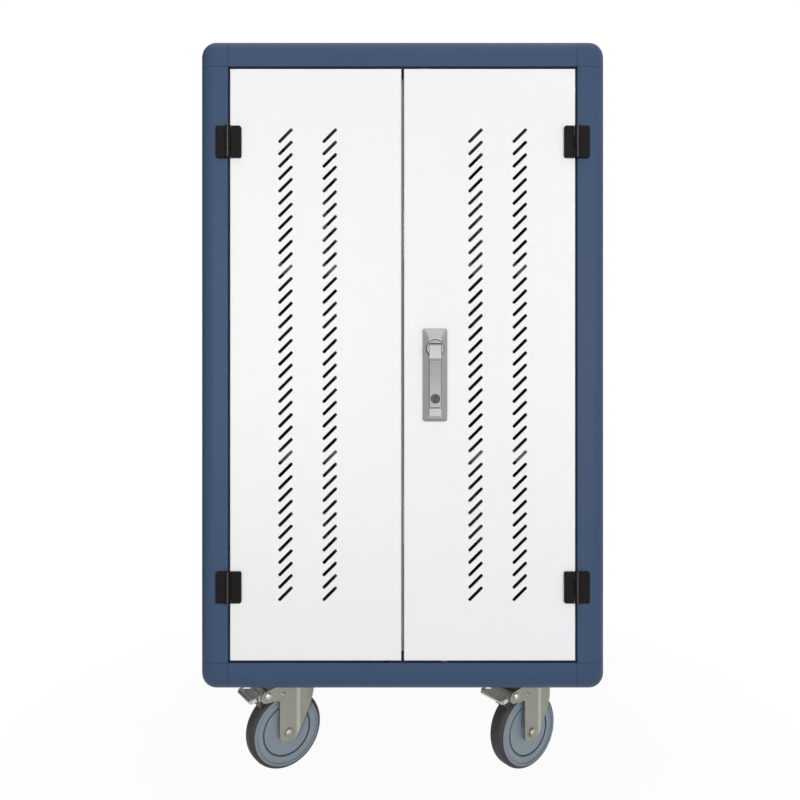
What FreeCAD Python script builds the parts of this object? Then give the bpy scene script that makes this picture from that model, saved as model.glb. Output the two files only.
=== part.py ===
import FreeCAD, Part
import math
import os

V = FreeCAD.Vector

# A rolling cabinet that charges portable computers: a frame of rounded aluminium members, two vented
# doors with a swing handle, three shelves of upright bays and four braked swivel casters.
# Millimetres. X is to the right seen from the front, Y runs from front to rear, Z is up from the floor.

# Frame
FRAME_WIDTH = 620.0
FRAME_DEPTH = 560.0
FRAME_HEIGHT = 995.0
PROFILE = 45.0
EDGE_RADIUS = 24.0
PROFILE_CORNER = 1.5
PROFILE_WALL = 2.5
FIN_REACH = 10.0
FIN_THICK = 2.0
SEAM = 0.5
SPIGOT_LENGTH = 22.0
SPIGOT_CLEARANCE = 0.25

# Sheet panels, set into the frame against its fins
PANEL_SET = 6.0
PANEL_SHEET = 1.2
BASE_SHEET = 3.0
PANEL_CLEARANCE = 0.6
LOUVRE_LENGTH = 150.0
LOUVRE_WIDTH = 5.0
LOUVRE_PITCH = 14.0
LOUVRE_ROWS = 8
LOUVRE_BEVEL = 1.5
LOUVRE_FROM_EDGE = 70.0

# Doors
DOOR_DEPTH = 20.0
DOOR_SHEET = 1.2
DOOR_BEND = 2.0
DOOR_RETURN = 12.0
HINGE_GAP = 3.0
CENTRE_GAP = 4.0
DOOR_END_GAP = 3.5
STOP_CLEARANCE = 0.4
VENT_ROWS = 38
VENT_FROM_END = 101.75
VENT_TO_HINGE = 12.05
VENT_COLUMN_STEP = 67.1
VENT_LENGTH = 29.0
VENT_WIDTH = 4.9
VENT_BEVEL = 1.2
VENT_ANGLE = 45.0

# Hinges
LEAF_REACH = 19.2
LEAF_HEIGHT = 48.0
LEAF_THICK = 4.2
LEAF_CORNER = 3.0
BARREL_RADIUS = 4.2
AXIS_OUT = 4.5
KNUCKLE_GAP = 0.3
MIDDLE_KNUCKLE = 20.0
LEAF_CLEARANCE = 0.4
PIN_RADIUS = 2.0
HINGE_FROM_DOOR_END = 112.0
RUNNING_CLEARANCE = 0.06

# Swing handle on the right door, measured from the point where its handle turns
HANDLE_FROM_EDGE = 46.9
HANDLE_ABOVE_MIDDLE = 23.5
BODY_WIDTH = 37.0
BODY_ABOVE = 31.4
BODY_BELOW = 109.4
BODY_CORNER = 4.0
BODY_RIM = 2.5
PLATEAU_RISE = 10.0
PLATEAU_WIDTH = 19.2
PLATEAU_ABOVE = 16.0
PLATEAU_BELOW = 104.0
PLATEAU_CORNER = 2.0
ROTOR_RADIUS = 13.5
ROTOR_CLEARANCE = 0.3
LEVER_WIDTH = 18.0
LEVER_END = 88.2
LEVER_TOP = 16.8
LEVER_FLAT_END = 15.0
LEVER_STEP = 4.0
LEVER_STEP_RISE = 14.8
LEVER_DISH_RISE = 13.4
LEVER_END_RISE = 15.6
LEVER_EDGE = 0.8
LEVER_PIN_UP = 4.0
LEVER_PIN_RADIUS = 1.5
LEVER_PIN_LENGTH = 24.0
LEVER_UNDER = 0.2
LEVER_SIDE_CLEARANCE = 0.3
KEY_BELOW = 75.3
KEY_WINDOW_RADIUS = 7.3
KEY_RADIUS = 6.5
KEY_BACK = 16.0
KEYWAY_WIDTH = 1.8
KEYWAY_HEIGHT = 8.0
KEYWAY_DEPTH = 4.0
BUTTON_TOP = 89.6
BUTTON_BOTTOM = 101.6
BUTTON_RISE = 15.2
BUTTON_FOOT = 4.5
BUTTON_CORNER = 1.5
BUTTON_CLEARANCE = 0.2
SPINDLE = 8.0
SPINDLE_CLEARANCE = 0.05
SPINDLE_SOCKET = 5.0
SPINDLE_HOLE = 8.5

# Rack and pinion behind the right door
TOOTH_MODULE = 1.5
TOOTH_COUNT = 12
TOOTH_ADDENDUM = 1.0
TOOTH_DEDENDUM = 1.3
PRESSURE_ANGLE = 20.0
BACKLASH = 0.3
ROD_WIDTH = 10.0
ROD_THICK = 5.0
ROD_SET = 6.0
RACK_TEETH_BACK = 2
RACK_TEETH_AHEAD = 6
ROD_TAIL = 4.0
ROD_CLEARANCE = 0.4
ROD_TIP_CLEARANCE = 0.5
GEAR_CLEARANCE = 1.0
CASE_WALL = 3.0
CASE_HEIGHT = 50.0
CASE_FLOOR = 12.5
GUIDE_WALL = 3.0
GUIDE_HEIGHT = 14.0
GUIDE_FROM_END = 70.0
GUIDE_FROM_PINION = 150.0

# Slide bolts behind the left door
BOLT_RADIUS = 4.0
BOLT_LENGTH = 84.0
BOLT_TRAVEL = 14.0
BOLT_FROM_EDGE = 22.0
BOLT_SET = 9.0
BOLT_TIP_INSIDE = 0.6
BOLT_CLEARANCE = 0.2
BOLT_CASE_WIDTH = 18.0
BOLT_CASE_HEIGHT = 62.0
BOLT_CASE_BACK = 16.0
BOLT_CASE_FROM_END = 16.0
KNOB_RADIUS = 3.0
KNOB_REACH = 13.0
KNOB_FROM_TIP = 40.0
KEEPER_CLEARANCE = 0.8

# Shelves and device bays
LEVEL_COUNT = 3
ANGLE_ABOVE_RAIL = 1.5
SHELF_SHEET = 1.5
SHELF_FRONT = 30.0
REAR_SPACE = 119.0
SHELF_HEM = 18.0
SHELF_SIDE_GAP = 1.0
ANGLE_LEG = 25.0
ANGLE_FOOT = 18.0
ANGLE_SHEET = 2.0
ANGLE_END = 33.0
BAY_COUNT = 10
DIVIDER_SHEET = 2.0
DIVIDER_FRONT = 45.0
DIVIDER_STOP_GAP = 5.0
DIVIDER_HEADROOM = 72.0
DIVIDER_NOSE = 80.0
TAB_LENGTH = 24.0
TAB_DROP = 5.5
TAB_FROM_END = 40.0
TAB_CLEARANCE = 0.2
STOP_FROM_SHELF_BACK = 41.0
STOP_HEIGHT = 70.0
STOP_FOOT = 20.0

# Mains supply
STRIP_FROM_SIDE = 15.0
STRIP_HEIGHT = 46.0
STRIP_DEPTH = 38.0
STRIP_BEVEL = 4.0
SOCKET_WIDTH = 30.0
SOCKET_HEIGHT = 24.0
SOCKET_DEPTH = 6.0
SOCKET_CLEARANCE = 0.1
CONTACT_WIDTH = 2.2
CONTACT_HEIGHT = 6.0
CONTACT_DEPTH = 4.0
CONTACT_STEP = 7.0
INLET_FROM_SIDE = 120.0
INLET_ABOVE_BASE = 107.0
INLET_WIDTH = 34.0
INLET_HEIGHT = 60.0
INLET_FLANGE = 2.0
INLET_BODY_INSET = 3.0
INLET_BODY_DEPTH = 28.0
INLET_CLEARANCE = 0.2
CUP_WIDTH = 24.5
CUP_HEIGHT = 17.0
CUP_DEPTH = 16.0
CUP_CHAMFER = 4.0
CUP_DROP = 14.0
BLADE_WIDTH = 2.0
BLADE_HEIGHT = 4.0
BLADE_LENGTH = 9.0
BLADE_STEP = 7.0
ROCKER_WIDTH = 20.0
ROCKER_HEIGHT = 14.0
ROCKER_RAISE = 16.0
ROCKER_POCKET = 11.0
ROCKER_PIVOT = 6.0
ROCKER_CLEARANCE = 0.8
ROCKER_TILT = 8.0
ROCKER_CORNER = 1.0

# Casters
CASTER_FROM_SIDE = 114.0
CASTER_SHIFT = 22.0
CASTER_INSET = 99.0
CASTER_YAW = 34.0
CASTER_TRAIL = 25.0
WHEEL_RADIUS = 62.5
TYRE_WIDTH = 30.0
TYRE_SHOULDER = 10.0
TYRE_THICK = 10.1
CORE_HALF = 12.5
CORE_BOSS_RADIUS = 13.0
CORE_BOSS_HALF = 19.4
GROOVE_FROM_RIM = 12.1
GROOVE_WIDTH = 3.0
GROOVE_DEPTH = 2.2
AXLE_RADIUS = 5.0
AXLE_HEAD_RADIUS = 7.5
AXLE_HEAD = 5.0
AXLE_HEAD_RIM = 2.5
AXLE_NUT_FLATS = 16.0
AXLE_NUT = 7.0
FORK_GAP = 40.0
FORK_SHEET = 3.0
WHEEL_CLEARANCE = 13.0
CASTER_HEAD = 17.0
FORK_BOSS_AHEAD = 11.0
FORK_BOSS_DOWN = 12.0
FORK_BOSS_RADIUS = 10.0
FORK_TRAILING = 17.0
FORK_LEADING = 52.0
FORK_FRONT_DROP = 9.0
FORK_BEND = 21.0
FORK_ARM_INSIDE_RIM = 14.5
FORK_ARM_DROP = 19.0
FORK_CORNER = 8.0
FORK_RIVET_BACK = 11.0
FORK_RIVET_DROP = 11.5
FORK_RIVET_RADIUS = 3.5
FORK_RIVET_HEAD = 2.0
FORK_RIVET_RIM = 0.4
CROWN_RADIUS = 30.0
CROWN_SHEET = 4.0
RACE_RADIUS = 27.0
RACE_RISE = 6.0
RACE_GAP = 0.5
CUP_RACE_RADIUS = 31.0
CUP_RACE_SHEET = 3.0
KINGPIN_RADIUS = 6.0
KINGPIN_HEAD_RADIUS = 11.0
KINGPIN_HEAD = 4.0
PLATE_WIDTH = 85.0
PLATE_LENGTH = 105.0
PLATE_SHEET = 4.0
PLATE_CORNER = 8.0
PEDAL_PIVOT_INSIDE_RIM = 26.5
PEDAL_PIVOT_DROP = 8.0
PEDAL_PIN_RADIUS = 3.0
PEDAL_PIN_SEAT = 0.6
PEDAL_PIN_HEAD_RADIUS = 5.0
PEDAL_PIN_HEAD = 2.4
PEDAL_PIN_HEAD_RIM = 0.6
PEDAL_SHEET = 2.5
PEDAL_TIP_PAST_RIM = 2.5
PEDAL_TIP_DROP = 15.0
PEDAL_WIDTH = 54.0
PEDAL_NECK = 37.0
PEDAL_SHOULDER_INSIDE_RIM = 11.5
PEDAL_CORNER = 6.0
PEDAL_RIM = 4.0
PEDAL_NOTCH = 1.0
PEDAL_LIP_RADIUS = 3.6
PEDAL_LIP_PROUD = 4.0
PEDAL_EAR_RADIUS = 7.0
SHOE_WIDTH = 28.0
SHOE_INSIDE_RIM = 16.0
SHOE_LENGTH = 9.0
SHOE_GAP = 3.4

# How far a cutting shape runs past the face it opens, and a joined shape into its neighbour
OVERRUN = 1.0

# Places worked out from the sizes above
CORE_RADIUS = WHEEL_RADIUS - TYRE_THICK
GROOVE_RADIUS = CORE_RADIUS - GROOVE_FROM_RIM
FORK_TOP = 2 * WHEEL_RADIUS + WHEEL_CLEARANCE
FORK_FRONT_UNDER = FORK_TOP - FORK_FRONT_DROP
FORK_ARM_END = WHEEL_RADIUS - FORK_ARM_INSIDE_RIM
FORK_ARM_UNDER = FORK_TOP - FORK_ARM_DROP
FORK_RIVET_UP = FORK_TOP - FORK_RIVET_DROP
PEDAL_PIVOT_BACK = WHEEL_RADIUS - PEDAL_PIVOT_INSIDE_RIM
PEDAL_PIVOT_UP = FORK_TOP - PEDAL_PIVOT_DROP
PEDAL_TIP_BACK = WHEEL_RADIUS + PEDAL_TIP_PAST_RIM
PEDAL_TIP_UP = FORK_TOP - PEDAL_TIP_DROP
PEDAL_SHOULDER_BACK = WHEEL_RADIUS - PEDAL_SHOULDER_INSIDE_RIM
SHOE_TO = WHEEL_RADIUS - SHOE_INSIDE_RIM
SHOE_FROM = SHOE_TO - SHOE_LENGTH
UNDERSIDE = FORK_TOP + CASTER_HEAD
LEFT = -FRAME_WIDTH / 2
FRONT_REACH = LEVER_TOP
FRONT = (FRONT_REACH - FRAME_DEPTH) / 2
REAR = FRONT + FRAME_DEPTH
MID_Y = (FRONT + REAR) / 2
BOTTOM = UNDERSIDE
TOP = UNDERSIDE + FRAME_HEIGHT
MID_Z = (BOTTOM + TOP) / 2
OPENING_WIDTH = FRAME_WIDTH - 2 * PROFILE
OPENING_HEIGHT = FRAME_HEIGHT - 2 * PROFILE
OPENING_LEFT = LEFT + PROFILE
OPENING_BOTTOM = BOTTOM + PROFILE
OPENING_TOP = TOP - PROFILE
DOOR_WIDTH = (OPENING_WIDTH - CENTRE_GAP) / 2 - HINGE_GAP
DOOR_HEIGHT = OPENING_HEIGHT - 2 * DOOR_END_GAP
DOOR_BOTTOM = OPENING_BOTTOM + DOOR_END_GAP
DOOR_TOP = DOOR_BOTTOM + DOOR_HEIGHT
VENT_PITCH = (DOOR_HEIGHT - 2 * VENT_FROM_END) / (VENT_ROWS - 1)
HINGE_X = OPENING_LEFT + HINGE_GAP / 2
HINGE_Y = FRONT - AXIS_OUT
HINGE_LEVELS = (DOOR_BOTTOM + HINGE_FROM_DOOR_END, DOOR_TOP - HINGE_FROM_DOOR_END)
HANDLE_X = CENTRE_GAP / 2 + HANDLE_FROM_EDGE
HANDLE_Z = MID_Z + HANDLE_ABOVE_MIDDLE
PITCH_RADIUS = TOOTH_MODULE * TOOTH_COUNT / 2
RACK_PITCH = math.pi * TOOTH_MODULE
ROD_NEAR = PITCH_RADIUS + TOOTH_DEDENDUM
ROD_FAR = ROD_NEAR + ROD_WIDTH
ROD_MID = (ROD_NEAR + ROD_FAR) / 2
BOLT_X = -CENTRE_GAP / 2 - BOLT_FROM_EDGE
FIRST_SHELF = OPENING_BOTTOM + ANGLE_ABOVE_RAIL + ANGLE_LEG + SHELF_SHEET
SHELF_STEP = (OPENING_TOP - FIRST_SHELF) / LEVEL_COUNT
SHELF_LEVELS = [FIRST_SHELF + SHELF_STEP * level for level in range(LEVEL_COUNT)]
SHELF_HALF = OPENING_WIDTH / 2 - SHELF_SIDE_GAP
BAY_PITCH = 2 * SHELF_HALF / BAY_COUNT
SHELF_BACK = FRAME_DEPTH - REAR_SPACE
STOP_AT = SHELF_BACK - STOP_FROM_SHELF_BACK
DIVIDER_BACK = STOP_AT - DIVIDER_STOP_GAP
DIVIDER_HEIGHT = SHELF_STEP - DIVIDER_HEADROOM
STRIP_LENGTH = OPENING_WIDTH - 2 * STRIP_FROM_SIDE
INLET_X = LEFT + INLET_FROM_SIDE
INLET_Z = BOTTOM + INLET_ABOVE_BASE
CASTER_X = FRAME_WIDTH / 2 - CASTER_FROM_SIDE
CASTER_TOP = BOTTOM + PANEL_SET
LEVER_PIN_RISE = (LEVER_TOP + PLATEAU_RISE + LEVER_UNDER) / 2
LEVER_HEAD = (LEVER_TOP - PLATEAU_RISE - LEVER_UNDER) / 2


# Shape helpers

def box(x0, x1, y0, y1, z0, z1):
    """A block between two opposite corners."""
    return Part.makeBox(x1 - x0, y1 - y0, z1 - z0, V(x0, y0, z0))


def outline(corners):
    """A closed wire in the XY plane through (x, y, radius) corners, each rounded by its radius."""
    arcs = []
    for i, (x, y, radius) in enumerate(corners):
        here = V(x, y, 0)
        before = V(corners[i - 1][0], corners[i - 1][1], 0)
        after = V(corners[(i + 1) % len(corners)][0], corners[(i + 1) % len(corners)][1], 0)
        back = (before - here).normalize()
        ahead = (after - here).normalize()
        half = back.getAngle(ahead) / 2
        cut = radius / math.tan(half)
        inward = (back + ahead).normalize() * (radius / math.sin(half) - radius) if radius else V()
        arcs.append((here + back * cut, here + inward, here + ahead * cut, radius))
    edges = []
    for i, (start, middle, end, radius) in enumerate(arcs):
        if radius:
            edges.append(Part.Arc(start, middle, end).toShape())
        following = arcs[(i + 1) % len(arcs)][0]
        if end.distanceToPoint(following) > 1e-6:
            edges.append(Part.makeLine(end, following))
    return Part.Wire(edges)


def rectangle(x0, x1, y0, y1, radius=0.0):
    """A rectangular wire in the XY plane with equal corner radii."""
    return outline([(x0, y0, radius), (x1, y0, radius), (x1, y1, radius), (x0, y1, radius)])


def prism(wire, z0, z1, *holes):
    """A wire in the XY plane, less any inner wires, drawn from z0 up to z1."""
    face = Part.makeFace([wire, *holes], "Part::FaceMakerBullseye")
    return face.extrude(V(0, 0, z1 - z0)).translated(V(0, 0, z0))


def rod(radius, start, end):
    """A round bar from one point to another."""
    return Part.makeCylinder(radius, (end - start).Length, start, end - start)


def turned(points):
    """A profile of (radius, height) points turned about the Z axis."""
    wire = Part.makePolygon([V(r, 0, z) for r, z in points + points[:1]])
    return Part.Face(wire).revolve(V(), V(0, 0, 1), 360)


def aimed(shape, x_axis, y_axis, z_axis, origin):
    """The shape with its own axes laid along three square directions, at a new origin."""
    placement = FreeCAD.Placement(origin, FreeCAD.Rotation(x_axis, y_axis, z_axis, "XYZ"))
    return shape.transformed(placement.toMatrix())


def across(shape):
    """The shape mirrored left to right about the cabinet's middle."""
    return shape.mirror(V(), V(1, 0, 0))


def to_rear(shape):
    """The shape mirrored front to rear about the frame's middle."""
    return shape.mirror(V(0, MID_Y, 0), V(0, 1, 0))


def to_top(shape):
    """The shape mirrored from bottom to top about the frame's middle."""
    return shape.mirror(V(0, 0, MID_Z), V(0, 0, 1))


def joined(first, *others):
    """One solid from overlapping or touching shapes."""
    return first.fuse(list(others)).removeSplitter()


# Frame members: a rounded hollow profile with a fin on each inner face that a panel or door meets

def profile_wire(inset, corner=0.0):
    """The square profile, well rounded at its outer corner, drawn in by an inset."""
    low = inset
    high = PROFILE - inset
    return outline([
        (low, low, EDGE_RADIUS - inset),
        (high, low, corner),
        (high, high, 0),
        (low, high, corner),
    ])


def member(length, fin_on_x, fin_on_y, x_notch=0.0, y_notch=0.0):
    """A member along Z, its outer corner on the Z axis.

    fin_on_x is how far the fin on the +X face stands from the other outer face, and fin_on_y the same
    for the +Y face. A notch is how far a fin stops short of both ends, clear of the fin it meets.
    """
    tube = prism(profile_wire(0, PROFILE_CORNER), 0, length, profile_wire(PROFILE_WALL))
    reach = PROFILE + FIN_REACH
    x_fin = box(PROFILE, reach, fin_on_x, fin_on_x + FIN_THICK, x_notch, length - x_notch)
    y_fin = box(fin_on_y, fin_on_y + FIN_THICK, PROFILE, reach, y_notch, length - y_notch)
    return joined(tube, x_fin, y_fin)


PANEL_FIN = PANEL_SET + PANEL_SHEET
BASE_FIN = PANEL_SET + BASE_SHEET
DOOR_FIN = DOOR_DEPTH + STOP_CLEARANCE
MEMBER_START = PROFILE + SEAM


def posts():
    """Four upright members."""
    length = FRAME_HEIGHT - 2 * MEMBER_START
    front = member(length, DOOR_FIN, PANEL_FIN).translated(V(LEFT, FRONT, BOTTOM + MEMBER_START))
    rear = member(length, PANEL_FIN, PANEL_FIN).translated(V(LEFT, FRONT, BOTTOM + MEMBER_START))
    rear = to_rear(rear)
    return [front, across(front), rear, across(rear)]


def keeper_holes():
    """The holes in the front rails that the rods and slide bolts shoot into."""
    tools = []
    slot_x = ROD_WIDTH / 2 + KEEPER_CLEARANCE
    slot_y0 = FRONT + ROD_SET - KEEPER_CLEARANCE
    slot_y1 = FRONT + ROD_SET + ROD_THICK + KEEPER_CLEARANCE
    half = PROFILE_WALL + OVERRUN
    for rod_x, surface in ((HANDLE_X - ROD_MID, OPENING_TOP), (HANDLE_X + ROD_MID, OPENING_BOTTOM)):
        tools.append(box(rod_x - slot_x, rod_x + slot_x, slot_y0, slot_y1, surface - half, surface + half))
        middle = V(BOLT_X, FRONT + BOLT_SET, surface)
        reach = V(0, 0, half)
        tools.append(rod(BOLT_RADIUS + KEEPER_CLEARANCE, middle - reach, middle + reach))
    return tools


def rails_across(front_fin, sheet_fin):
    """A rail along X at the bottom front, its outer corner on the frame's edge."""
    length = FRAME_WIDTH - 2 * MEMBER_START
    plain = member(length, front_fin, sheet_fin, FIN_REACH)
    start = V(-LEFT - MEMBER_START, FRONT, BOTTOM)
    return aimed(plain, V(0, 0, 1), V(0, 1, 0), V(-1, 0, 0), start)


def front_rails():
    """The bottom and top rails that the doors close against."""
    holes = keeper_holes()
    bottom = rails_across(DOOR_FIN, BASE_FIN).cut(holes)
    top = to_top(rails_across(DOOR_FIN, PANEL_FIN)).cut(holes)
    return [bottom, top]


def rear_rails():
    """The bottom and top rails round the rear panel."""
    bottom = to_rear(rails_across(PANEL_FIN, BASE_FIN))
    top = to_rear(to_top(rails_across(PANEL_FIN, PANEL_FIN)))
    return [bottom, top]


def side_rails():
    """Four rails from front to rear."""
    length = FRAME_DEPTH - 2 * MEMBER_START
    rails = []
    for sheet_fin, lift in ((BASE_FIN, None), (PANEL_FIN, to_top)):
        plain = member(length, PANEL_FIN, sheet_fin, FIN_REACH, FIN_REACH)
        rail = aimed(plain, V(0, 0, 1), V(1, 0, 0), V(0, 1, 0), V(LEFT, FRONT + MEMBER_START, BOTTOM))
        rail = lift(rail) if lift else rail
        rails.extend([rail, across(rail)])
    return rails


def corner_blocks():
    """Eight cast corners, each with three spigots that plug the members' ends."""
    cube = box(0, PROFILE, 0, PROFILE, 0, PROFILE)
    outer = [e for e in cube.Edges if min(v.Point.Length for v in e.Vertexes) < 1e-6]
    block = cube.makeFillet(EDGE_RADIUS, outer)
    end = PROFILE + SPIGOT_LENGTH
    spigot = prism(profile_wire(PROFILE_WALL + SPIGOT_CLEARANCE), PROFILE - OVERRUN, end)
    along_x = aimed(spigot, V(0, 1, 0), V(0, 0, 1), V(1, 0, 0), V())
    along_y = aimed(spigot, V(0, 0, 1), V(1, 0, 0), V(0, 1, 0), V())
    block = joined(block, spigot, along_x, along_y).translated(V(LEFT, FRONT, BOTTOM))
    blocks = [block, across(block)]
    blocks += [to_rear(b) for b in blocks]
    return blocks + [to_top(b) for b in blocks]


# Sheet panels

def slot_wire(length, width, bevel):
    """A slot along X with bevelled ends, centred on the origin."""
    far = length / 2
    side = width / 2
    corners = []
    for sx, sy in ((1, -1), (1, 1), (-1, 1), (-1, -1)):
        shoulder = (sx * (far - bevel), sy * side, 0)
        end = (sx * far, sy * (side - bevel), 0)
        corners += [shoulder, end] if sx * sy < 0 else [end, shoulder]
    return outline(corners)


def louvred_sheet(width, height):
    """A flat sheet in the XY plane, centred, with a group of air slots near each end."""
    slot = slot_wire(LOUVRE_LENGTH, LOUVRE_WIDTH, LOUVRE_BEVEL)
    slots = []
    for row in range(LOUVRE_ROWS):
        y = height / 2 - LOUVRE_FROM_EDGE - row * LOUVRE_PITCH
        slots.append(slot.translated(V(0, y, 0)))
        slots.append(slot.translated(V(0, -y, 0)))
    edge = rectangle(-width / 2, width / 2, -height / 2, height / 2)
    return prism(edge, 0, PANEL_SHEET, *slots)


PANEL_DEPTH = FRAME_DEPTH - 2 * PROFILE - 2 * PANEL_CLEARANCE
PANEL_WIDTH = OPENING_WIDTH - 2 * PANEL_CLEARANCE
PANEL_HEIGHT = OPENING_HEIGHT - 2 * PANEL_CLEARANCE


def left_side_panel():
    """The sheet that closes the left side."""
    sheet = louvred_sheet(PANEL_DEPTH, PANEL_HEIGHT)
    return aimed(sheet, V(0, 1, 0), V(0, 0, 1), V(1, 0, 0), V(LEFT + PANEL_SET, MID_Y, MID_Z))


def rear_panel():
    """The sheet that closes the rear, cut out for the mains inlet."""
    sheet = louvred_sheet(PANEL_WIDTH, PANEL_HEIGHT)
    panel = aimed(sheet, V(-1, 0, 0), V(0, 0, 1), V(0, 1, 0), V(0, REAR - PANEL_SET - PANEL_SHEET, MID_Z))
    half_x = INLET_WIDTH / 2 - INLET_BODY_INSET + INLET_CLEARANCE
    half_z = INLET_HEIGHT / 2 - INLET_BODY_INSET + INLET_CLEARANCE
    window = box(-half_x, half_x, -PROFILE, PROFILE, -half_z, half_z)
    return panel.cut(window.translated(V(INLET_X, REAR, INLET_Z)))


def flat_panel(z0, z1):
    """A plain sheet between the side, front and rear rails."""
    half_x = PANEL_WIDTH / 2
    half_y = PANEL_DEPTH / 2
    return box(-half_x, half_x, MID_Y - half_y, MID_Y + half_y, z0, z1)


def caster_places():
    """The four swivel axes, by name, shifted to the right so that wheels trailing left stand evenly."""
    left = CASTER_SHIFT - CASTER_X
    right = CASTER_SHIFT + CASTER_X
    return {
        "front_left": V(left, FRONT + CASTER_INSET, 0),
        "front_right": V(right, FRONT + CASTER_INSET, 0),
        "rear_left": V(left, REAR - CASTER_INSET, 0),
        "rear_right": V(right, REAR - CASTER_INSET, 0),
    }


# Doors: folded pans with slanted vent slots

def vent_tools(columns):
    """Slanted slots through a door's front sheet, one column at each X."""
    slot = prism(slot_wire(VENT_LENGTH, VENT_WIDTH, VENT_BEVEL), -DOOR_SHEET, 2 * DOOR_SHEET)
    slot.rotate(V(), V(0, 0, 1), VENT_ANGLE)
    slot = aimed(slot, V(1, 0, 0), V(0, 0, 1), V(0, -1, 0), V(0, FRONT + DOOR_SHEET, 0))
    first = (DOOR_BOTTOM + DOOR_TOP - (VENT_ROWS - 1) * VENT_PITCH) / 2
    rows = [first + row * VENT_PITCH for row in range(VENT_ROWS)]
    return [slot.translated(V(x, 0, z)) for x in columns for z in rows]


def door_pan(hinge_edge, side):
    """A folded sheet pan. side is +1 where the door runs to the right of its hinge edge."""
    free_edge = hinge_edge + side * DOOR_WIDTH
    x0 = min(hinge_edge, free_edge)
    x1 = max(hinge_edge, free_edge)
    back = FRONT + DOOR_DEPTH
    block = box(x0, x1, FRONT, back, DOOR_BOTTOM, DOOR_TOP)
    front_edges = [e for e in block.Edges if e.BoundBox.YMax < FRONT + 1e-6]
    block = block.makeFillet(DOOR_BEND, front_edges)
    t = DOOR_SHEET
    hollow = box(x0 + t, x1 - t, FRONT + t, back, DOOR_BOTTOM + t, DOOR_TOP - t)
    lips = [
        box(x0 + t / 2, x0 + t + DOOR_RETURN, back - t, back, DOOR_BOTTOM + t / 2, DOOR_TOP - t / 2),
        box(x1 - t - DOOR_RETURN, x1 - t / 2, back - t, back, DOOR_BOTTOM + t / 2, DOOR_TOP - t / 2),
    ]
    pan = joined(block.cut(hollow), *lips)
    middle = hinge_edge + side * (DOOR_WIDTH / 2 - VENT_TO_HINGE)
    columns = [middle - VENT_COLUMN_STEP / 2, middle + VENT_COLUMN_STEP / 2]
    return pan.cut(Part.makeCompound(vent_tools(columns)))


def left_door():
    """The left door, with a hole for a slide bolt in its top and bottom edges."""
    pan = door_pan(OPENING_LEFT + HINGE_GAP, 1)
    hole = BOLT_RADIUS + BOLT_CLEARANCE
    tools = []
    for z in (DOOR_BOTTOM, DOOR_TOP):
        middle = V(BOLT_X, FRONT + BOLT_SET, z)
        tools.append(rod(hole, middle - V(0, 0, 2 * DOOR_SHEET), middle + V(0, 0, 2 * DOOR_SHEET)))
    return pan.cut(tools)


def right_door():
    """The right door, pierced for the handle's spindle, the key barrel and the two lock rods."""
    pan = door_pan(-OPENING_LEFT - HINGE_GAP, -1)
    tools = []
    for z, radius in ((HANDLE_Z, SPINDLE_HOLE), (HANDLE_Z - KEY_BELOW, KEY_RADIUS + BUTTON_CLEARANCE)):
        middle = V(HANDLE_X, FRONT, z)
        tools.append(rod(radius, middle - V(0, DOOR_SHEET, 0), middle + V(0, 2 * DOOR_SHEET, 0)))
    half = ROD_WIDTH / 2 + ROD_CLEARANCE
    y0 = FRONT + ROD_SET - ROD_CLEARANCE
    y1 = FRONT + ROD_SET + ROD_THICK + ROD_CLEARANCE
    for x, z in ((HANDLE_X - ROD_MID, DOOR_TOP), (HANDLE_X + ROD_MID, DOOR_BOTTOM)):
        tools.append(box(x - half, x + half, y0, y1, z - 2 * DOOR_SHEET, z + 2 * DOOR_SHEET))
    return pan.cut(tools)


# Hinges: a leaf on the frame with two knuckles, a leaf on the door with one, and a pin

def knuckle_spans(on_frame):
    """The heights of a leaf's knuckles about the hinge's middle."""
    inner = MIDDLE_KNUCKLE / 2
    outer = LEAF_HEIGHT / 2
    if on_frame:
        return [(-outer, -inner - KNUCKLE_GAP), (inner + KNUCKLE_GAP, outer)]
    return [(-inner, inner)]


def hinge_leaf(on_frame):
    """One leaf about a hinge axis on Z, reaching towards -X on the frame and +X on the door."""
    side = -1 if on_frame else 1
    near = side * (BARREL_RADIUS + LEAF_CLEARANCE)
    far = side * LEAF_REACH
    half = LEAF_HEIGHT / 2
    plate_wire = outline([
        (near, -half, 0),
        (far, -half, LEAF_CORNER),
        (far, half, LEAF_CORNER),
        (near, half, 0),
    ])
    plate = prism(plate_wire, 0, LEAF_THICK)
    leaf = aimed(plate, V(1, 0, 0), V(0, 0, 1), V(0, -1, 0), V(0, AXIS_OUT, 0))
    parts = []
    bores = []
    for z0, z1 in knuckle_spans(on_frame):
        parts.append(rod(BARREL_RADIUS, V(0, 0, z0), V(0, 0, z1)))
        web_x = sorted((0, near + side * LEAF_CLEARANCE))
        parts.append(box(web_x[0], web_x[1], AXIS_OUT - LEAF_THICK, BARREL_RADIUS, z0, z1))
        bores.append(rod(PIN_RADIUS + RUNNING_CLEARANCE, V(0, 0, z0), V(0, 0, z1)))
    return joined(leaf, *parts).cut(bores)


def left_hinges(shape):
    """A shape about the Z axis set at each hinge of the left door."""
    return [shape.translated(V(HINGE_X, HINGE_Y, z)) for z in HINGE_LEVELS]


def both_sides(shapes):
    """The left door's hinge pieces and their mirror images for the right door."""
    return shapes + [across(s) for s in shapes]


def hinge_pin():
    """A plain pin as long as the hinge."""
    return rod(PIN_RADIUS, V(0, 0, -LEAF_HEIGHT / 2), V(0, 0, LEAF_HEIGHT / 2))


# Swing handle: shaped with X across, Y up the door and Z out of it, from the turning point

def on_door(shape):
    """A handle piece set on the right door's face."""
    return aimed(shape, V(1, 0, 0), V(0, 0, 1), V(0, -1, 0), V(HANDLE_X, FRONT, HANDLE_Z))


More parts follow.
